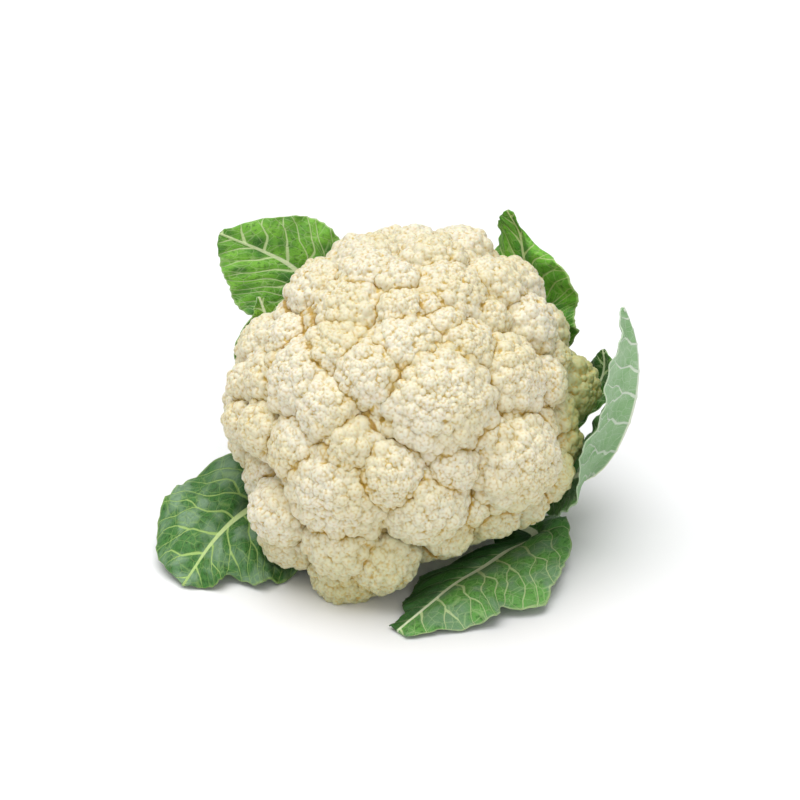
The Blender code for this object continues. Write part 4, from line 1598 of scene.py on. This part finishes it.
@dataclass
class Stump:
    """The cut stem and the stalks of leaves that were trimmed off."""

    lie: Lie
    finish: StemFinish = field(default_factory=StemFinish)
    radius: float = 20 * MM
    flare: float = 1.5 * MM
    flare_height: float = 4 * MM
    edge: float = 1.5 * MM
    edge_rounding: float = 0.35
    top: float = -38.35 * MM
    wall_rows: int = 16
    face_rings: int = 12
    face_ring_mm: float = 1.4
    sides: int = 120
    rib_depth: float = 0.35
    fine_rib_depth: float = 0.2
    dish: float = 0.5 * MM
    dish_margin: float = 3 * MM
    brown_margin: tuple[float, float] = (4 * MM, 1 * MM)
    wood_ring: float = 0.62
    wood_ring_half: float = 0.8 * MM
    stub_bearings: tuple[float, ...] = (37, 73, 108, 146)
    stub_level: float = -56.5 * MM
    stub_length: float = 13 * MM
    stub_half_width: float = 6.5 * MM
    stub_half_thick: float = 3.2 * MM
    stub_taper: float = 0.85
    stub_gap: float = 1.05 * MM
    stub_sides: int = 40
    stub_rows: int = 8
    stub_edge: float = 0.6 * MM
    stub_rings: int = 4
    stub_ring: float = 1.2 * MM
    stub_furrow: float = 0.05

    def cut_level(self) -> float:
        """How far below the head's middle the stem is cut, so that its edge meets the table."""
        tilt = math.acos(math.cos(self.lie.tip_forward) * math.cos(self.lie.lean_right))
        return (self.lie.height - (self.radius - self.edge) * math.sin(tilt)) / math.cos(tilt)

    def build(self) -> None:
        """Makes the stem and the stubs."""
        material = self.finish.material()
        self.build_stem(material)
        for number, bearing in enumerate(self.stub_bearings, 1):
            self.build_stub(number, math.radians(bearing), material)

    def profile(self, cut: float) -> list[tuple[float, float]]:
        """The stem's outline, as distances from its axis and levels, from its top to its cut.

        Args:
            cut: the level of the cut face.

        Returns:
            The outline's corners.
        """
        wall = np.linspace(0, 1, self.wall_rows)
        levels = (self.top - self.flare_height) * (1 - wall) + (cut + self.edge) * wall
        bevel = self.edge * self.edge_rounding
        rim = self.radius - self.edge
        return [
            (0.0, self.top),
            (self.radius + self.flare, self.top),
            *((self.radius, level) for level in levels),
            (self.radius - bevel, cut + bevel),
            *((rim - step * self.face_ring_mm * MM, cut) for step in range(self.face_rings)),
            (0.0, cut),
        ]

    def build_stem(self, material: bpy.types.Material) -> None:
        """Turns the stem from its profile, then ribs its skin and dishes its cut face.

        Args:
            material: the finish.
        """
        cut = -self.cut_level()
        bm = bmesh.new()
        verts = [bm.verts.new((x, 0, z)) for x, z in self.profile(cut)]
        edges = [bm.edges.new(pair) for pair in zip(verts, verts[1:])]
        bmesh.ops.spin(
            bm, geom=verts + edges, axis=(0, 0, 1), cent=(0, 0, 0), steps=self.sides,
            angle=2 * math.pi, use_merge=True,
        )
        bmesh.ops.remove_doubles(bm, verts=bm.verts[:], dist=WELD)
        bmesh.ops.recalc_face_normals(bm, faces=bm.faces[:])
        mesh = finished(bm, "stem")
        points = read_points(mesh)
        away = np.hypot(points[:, 0], points[:, 1])
        bearing = np.arctan2(points[:, 1], points[:, 0])
        on_wall = (away > self.radius - 0.5 * MM) & (points[:, 2] < self.top - TINY)
        ribs = self.rib_depth * np.sin(bearing * 9 + points[:, 2] * 60)
        ribs = ribs + self.fine_rib_depth * np.sin(bearing * 23 + 1.3)
        scale = np.where(on_wall, 1 - np.abs(ribs) * MM / self.radius, 1)
        face = points[:, 2] < cut + 0.2 * MM
        inside = np.clip(1 - (away / (self.radius - self.dish_margin)) ** 2, 0, 1)
        dish = self.dish * inside * (1 + 0.4 * np.sin(bearing * 3))
        points[:, :2] *= scale[:, None]
        points[:, 2] += np.where(face, dish, 0)
        write_points(mesh, above_table(moved(points, self.lie.placed())))
        inner, outer = (self.radius - margin for margin in self.brown_margin)
        ring = ramp(away, inner, outer) * 0.5
        ring = ring + 0.4 * (np.abs(away - self.wood_ring * self.radius) < self.wood_ring_half)
        write_values(mesh, "cut", np.column_stack([face * 1.0, ring, away * 0]))
        add_piece("stem_stump", mesh, material, Slot.STEM, "stem")

    def build_stub(self, number: int, bearing: float, material: bpy.types.Material) -> None:
        """Makes one trimmed stalk: an oval furrowed peg with cut ends.

        Args:
            number: the number of the stalk.
            bearing: where it stands round the stem.
            material: the finish.
        """
        bm = bmesh.new()
        bmesh.ops.create_cone(
            bm, cap_ends=True, segments=self.stub_sides, radius1=self.stub_half_width,
            radius2=self.stub_half_width * self.stub_taper, depth=self.stub_length,
        )
        caps = [face for face in bm.faces if len(face.verts) > 4]
        bmesh.ops.inset_individual(bm, faces=caps, thickness=self.stub_edge)
        long_edges = [
            edge for edge in bm.edges
            if abs(edge.verts[0].co.z - edge.verts[1].co.z) > self.stub_length / 2
        ]
        bmesh.ops.subdivide_edges(bm, edges=long_edges, cuts=self.stub_rows, use_grid_fill=True)
        caps = [face for face in bm.faces if len(face.verts) > 4]
        for _ in range(self.stub_rings):
            bmesh.ops.inset_individual(bm, faces=caps, thickness=self.stub_ring)
        bmesh.ops.triangulate(bm, faces=[face for face in bm.faces if len(face.verts) > 4])
        thin = (1, self.stub_half_thick / self.stub_half_width, 1)
        bmesh.ops.scale(bm, verts=bm.verts[:], vec=thin)
        bmesh.ops.rotate(bm, verts=bm.verts[:], matrix=Matrix.Rotation(math.pi / 2, 3, "Z"))
        mesh = finished(bm, f"leaf_stub_{number}")
        points = read_points(mesh)
        end = points[:, 2] > self.stub_length / 2 - 0.1 * MM
        turn = np.arctan2(points[:, 1], points[:, 0])
        furrows = 1 - self.stub_furrow * np.abs(np.sin(turn * 5 + number))
        points[:, :2] *= furrows[:, None]
        outward = Matrix.Rotation(bearing, 4, "Z") @ Matrix.Rotation(math.pi / 2, 4, "Y")
        far = self.radius + self.stub_gap + self.stub_length / 2
        spot = (far * math.cos(bearing), far * math.sin(bearing), self.stub_level)
        place = self.lie.placed() @ Matrix.Translation(spot) @ outward
        write_points(mesh, moved(points, place))
        write_values(mesh, "cut", np.column_stack([end * 1.0, end * 0.4, end * 0]))
        add_piece(f"trimmed_stalk_{number}", mesh, material, Slot.STEM, f"leaf_stub_{number}")


BRIGHT = LeafFinish("leaf bright")
FRESH = LeafFinish(
    "leaf fresh", blade=(0.060, 0.270, 0.012), light=(0.150, 0.420, 0.030), vein=(0.50, 0.64, 0.26),
    spacing=10.0, lean=0.95,
)
YOUNG = LeafFinish(
    "leaf young", blade=(0.080, 0.260, 0.010), light=(0.200, 0.420, 0.030), spacing=8.0, fork=8.0,
)
# painted shade: darker greens for a leaf that lies in shade behind the right leaf
SHADED = LeafFinish(
    "leaf shaded", blade=(0.022, 0.100, 0.007), light=(0.060, 0.200, 0.016),
    dark=(0.007, 0.040, 0.003),
)
DEEP = LeafFinish(
    "leaf deep", blade=(0.022, 0.105, 0.016), light=(0.052, 0.180, 0.034),
    dark=(0.008, 0.036, 0.006), vein=(0.38, 0.56, 0.16), rib=(0.60, 0.72, 0.34),
    bloom_share=0.75, spacing=13.0, lean=0.55,
)
BLOOMED = LeafFinish(
    "leaf bloomed", blade=(0.044, 0.200, 0.025), light=(0.115, 0.330, 0.060),
    dark=(0.010, 0.060, 0.007), bloom_share=0.60, spacing=13.0, lean=0.60, base_run=65.0,
    rib_run=240.0,
)
PALE = LeafFinish(
    "leaf pale", under=(0.36, 0.56, 0.31), light=(0.20, 0.42, 0.15), vein=(0.72, 0.80, 0.66),
    spacing=14.0, lean=0.45, curl=-0.004, fork=18.0, vein_share=0.95, dark=(0.08, 0.20, 0.05),
    base_run=95.0,
)

LEAVES = (
    LeafShape(
        name="leaf_front_left", foot=202,
        stations=(
            ((-46, 14, 14), (-38, 4, 6), (-58, 24, 24)),
            ((-68, -8, 16), (-43, -42, 3), (-77, 18, 30)),
            ((-77, -22, 16), (-58, -54, 3), (-98, 4, 26)),
            ((-86, -36, 12), (-72, -55, 4), (-111, -14, 16)),
            ((-92, -46, 7), (-84, -56, 2), (-110, -38, 5)),
            ((-97, -54, 2.5), (-95, -55, 2), (-98, -54, 3)),
        ),
        wave=2.5, waves=4, arch=0.10, tooth=0.7, phase=0.6, finish=DEEP,
        lobes=2.0, lobe_run=19, notches=((-1, 66, 4.5, 4.0), (-1, 55, 5, -1.5)), puff=1.9 * MM,
    ),
    LeafShape(
        name="leaf_front_right", foot=-50,
        stations=(
            ((43, -9, 10), (50, -3, 11), (36, -14, 9)),
            ((62, -22, 9), (76, -11, 12), (44, -32, 6)),
            ((48, -37, 9), (77, -38, 10), (24, -40, 5)),
            ((38, -48, 8), (70, -62, 8), (12, -48, 3)),
            ((24, -62, 7), (52, -84, 6), (8, -62, 3)),
            ((12, -77, 5), (32, -90, 4), (4, -76, 3)),
            ((-1, -92, 2), (3, -97, 1.5), (-5, -88, 2)),
        ),
        wave=2.0, waves=4, arch=0.10, tooth=0.7, phase=0.0, finish=BLOOMED,
        lobes=1.2, lobe_run=15,
        notches=((-1, 79, 7, 6.5), (-1, 66, 5, -2.5), (1, 84, 14, -6)),
        shaded_side=1, puff=1.8 * MM,
    ),
    LeafShape(
        name="leaf_right", foot=-12,
        stations=(
            ((56, 3, 22), (57, 12, 26), (59, -11, 19)),
            ((92, 0, 34), (86, 17, 40), (76, -36, 31)),
            ((103, 2, 54), (97, 18, 58), (81, -31, 53)),
            ((107, 1, 78), (101, 18, 78), (91, -26, 84)),
            ((105, -2, 99), (101, 6, 99), (96, -20, 107)),
            ((99, -6, 117), (100, -5, 116), (98, -7, 117)),
        ),
        wave=1.6, waves=4, arch=0.05, tooth=0.6, phase=0.3, finish=PALE,
        lobes=0.8, lobe_run=21,
    ),
    LeafShape(
        name="leaf_right_back", foot=22,
        stations=(
            ((46, 30, 32), (40, 38, 38), (50, 22, 29)),
            ((84, 35, 48), (78, 48, 54), (89, 24, 46)),
            ((95, 36, 61), (90, 46, 63), (100, 27, 61)),
            ((96, 38, 69), (91, 43, 68), (100, 33, 71)),
            ((95, 40, 74), (94, 41, 73), (96, 39, 74)),
        ),
        wave=1.2, waves=3, arch=0.08, tooth=0.5, phase=0.4, finish=SHADED,
    ),
    LeafShape(
        name="leaf_upper_right", foot=56,
        stations=(
            ((34, 48, 38), (24, 54, 42), (44, 42, 40)),
            ((58, 55, 76), (42, 72, 82), (79, 30, 86)),
            ((61, 55, 101), (44, 70, 105), (79, 35, 102)),
            ((58, 58, 114), (45, 68, 118), (71, 44, 117)),
            ((56, 61, 124), (46, 66, 128), (62, 56, 121)),
            ((50, 62, 135), (48, 63, 134), (53, 60, 135)),
        ),
        wave=2.6, waves=4, arch=0.08, tooth=0.7, phase=0.2, finish=FRESH,
        lobes=1.2, lobe_run=16,
        notches=((1, 98, 4, 4.5), (1, 79, 11, -7), (1, 63, 3, 2.5), (1, 50, 8, -4)), puff=1.4 * MM,
    ),
    LeafShape(
        name="leaf_back", foot=91,
        stations=(
            ((2, 62, 40), (-8, 63, 43), (12, 62, 43)),
            ((4, 82, 62), (-20, 80, 66), (28, 78, 66)),
            ((6, 90, 82), (-20, 88, 84), (32, 86, 84)),
            ((9, 94, 96), (-6, 93, 96), (24, 91, 96)),
            ((12, 98, 104), (10, 98, 104), (14, 98, 104)),
        ),
        wave=2.4, waves=4, arch=0.08, tooth=0.7, phase=0.5, finish=BRIGHT,
    ),
    LeafShape(
        name="leaf_upper_left", foot=127,
        stations=(
            ((-26, 55, 44), (-35, 51, 46), (-16, 60, 48)),
            ((-39, 68, 88), (-65, 56, 79), (-20, 76, 98)),
            ((-52, 69, 104), (-78, 57, 90), (-33, 78, 120)),
            ((-65, 70, 111), (-84, 63, 103), (-48, 78, 126)),
            ((-76, 70, 116), (-86, 66, 111), (-66, 76, 125)),
            ((-85, 70, 120), (-86, 69, 118), (-83, 71, 122)),
        ),
        wave=1.6, waves=4, arch=0.05, tooth=0.7, phase=0.8, finish=BRIGHT,
    ),
    LeafShape(
        name="leaf_small_left", foot=164,
        stations=(
            ((-44, 37, 38), (-48, 31, 36), (-41, 42, 42)),
            ((-59, 37, 66), (-69, 28, 66), (-51, 43, 71)),
            ((-63, 41, 84), (-71, 35, 84), (-55, 45, 87)),
            ((-67, 44, 95), (-68, 43, 95), (-66, 45, 95)),
        ),
        wave=1.2, waves=3, arch=0.06, tooth=0.8, phase=0.1, finish=YOUNG,
        lobes=0.6, lobe_run=9, strayed=(1.5, -2.0, 5.0),
    ),
)


@dataclass(frozen=True)
class Glow:
    """A far soft light: where it comes from, how broad it looks, as an angle, and its power."""

    name: str
    way: Spot
    breadth: float
    power: float


LIGHTS = (
    Glow("key light", (-0.13, 0.04, 1.0), math.radians(62), 2.95),
    Glow("fill light", (0.10, -0.9, 0.5), math.radians(88), 1.05),
)


@dataclass
class Studio:
    """The table, the soft lights and the camera at the photograph's angle."""

    lie: Lie
    table_half: float = 6.0
    surroundings: float = 0.25
    elevation: float = math.radians(27)
    distance: float = 1.15
    metres_a_pixel: float = 0.457e-3
    pixels_up: float = 11
    frame_pixels: int = 800
    sensor: float = 36.0
    finish: TableFinish = field(default_factory=TableFinish)

    def build(self) -> None:
        """Sets the table, the lights, the surroundings and the camera."""
        self.build_table()
        self.build_camera()
        for glow in LIGHTS:
            self.build_light(glow)
        world = bpy.data.worlds.new("studio")
        world.use_nodes = True
        background = world.node_tree.nodes["Background"]
        background.inputs["Color"].default_value = (1.0, 1.0, 1.0, 1.0)
        background.inputs["Strength"].default_value = self.surroundings
        scene = bpy.context.scene
        scene.world = world
        scene.view_settings.view_transform = "Standard"

    def build_table(self) -> None:
        """Lays the table."""
        bm = bmesh.new()
        bmesh.ops.create_grid(bm, x_segments=2, y_segments=2, size=self.table_half)
        mesh = finished(bm, "table")
        mesh.materials.append(self.finish.material())
        table = bpy.data.objects.new("table", mesh)
        bpy.context.scene.collection.objects.link(table)

    def build_light(self, glow: Glow) -> None:
        """Adds one light.

        Args:
            glow: the light.
        """
        lamp = bpy.data.lights.new(glow.name, "SUN")
        lamp.angle = glow.breadth
        lamp.energy = glow.power
        light = bpy.data.objects.new(glow.name, lamp)
        bpy.context.scene.collection.objects.link(light)
        light.location = glow.way
        light.rotation_mode = "QUATERNION"
        light.rotation_quaternion = (-Vector(glow.way)).to_track_quat("-Z", "Y")

    def build_camera(self) -> None:
        """Places the camera."""
        back = Vector((0, -math.cos(self.elevation), math.sin(self.elevation)))
        up = Vector((0, math.sin(self.elevation), math.cos(self.elevation)))
        aim = Vector(self.lie.shift) + Vector((0, 0, self.lie.height))
        aim += up * self.pixels_up * self.metres_a_pixel
        data = bpy.data.cameras.new("camera")
        data.sensor_width = self.sensor
        data.lens = self.sensor * self.distance / (self.frame_pixels * self.metres_a_pixel)
        camera = bpy.data.objects.new("camera", data)
        bpy.context.scene.collection.objects.link(camera)
        camera.location = aim + back * self.distance
        camera.rotation_mode = "QUATERNION"
        camera.rotation_quaternion = (-back).to_track_quat("-Z", "Y")
        bpy.context.scene.camera = camera


def main() -> None:
    """Builds the studio and every piece of the cauliflower."""
    logging.basicConfig(level=logging.INFO, format="%(name)s: %(message)s")
    lie, dome = Lie(), Dome()
    Studio(lie).build()
    Curd(lie, dome).build()
    Branches(lie, dome).build()
    middles, radii = balls_of(dome.florets())
    for shape in LEAVES:
        Leaf(lie, shape, (middles, radii * GUARD), dome).build()
    Stump(lie).build()


if __name__ == "__main__":
    main()
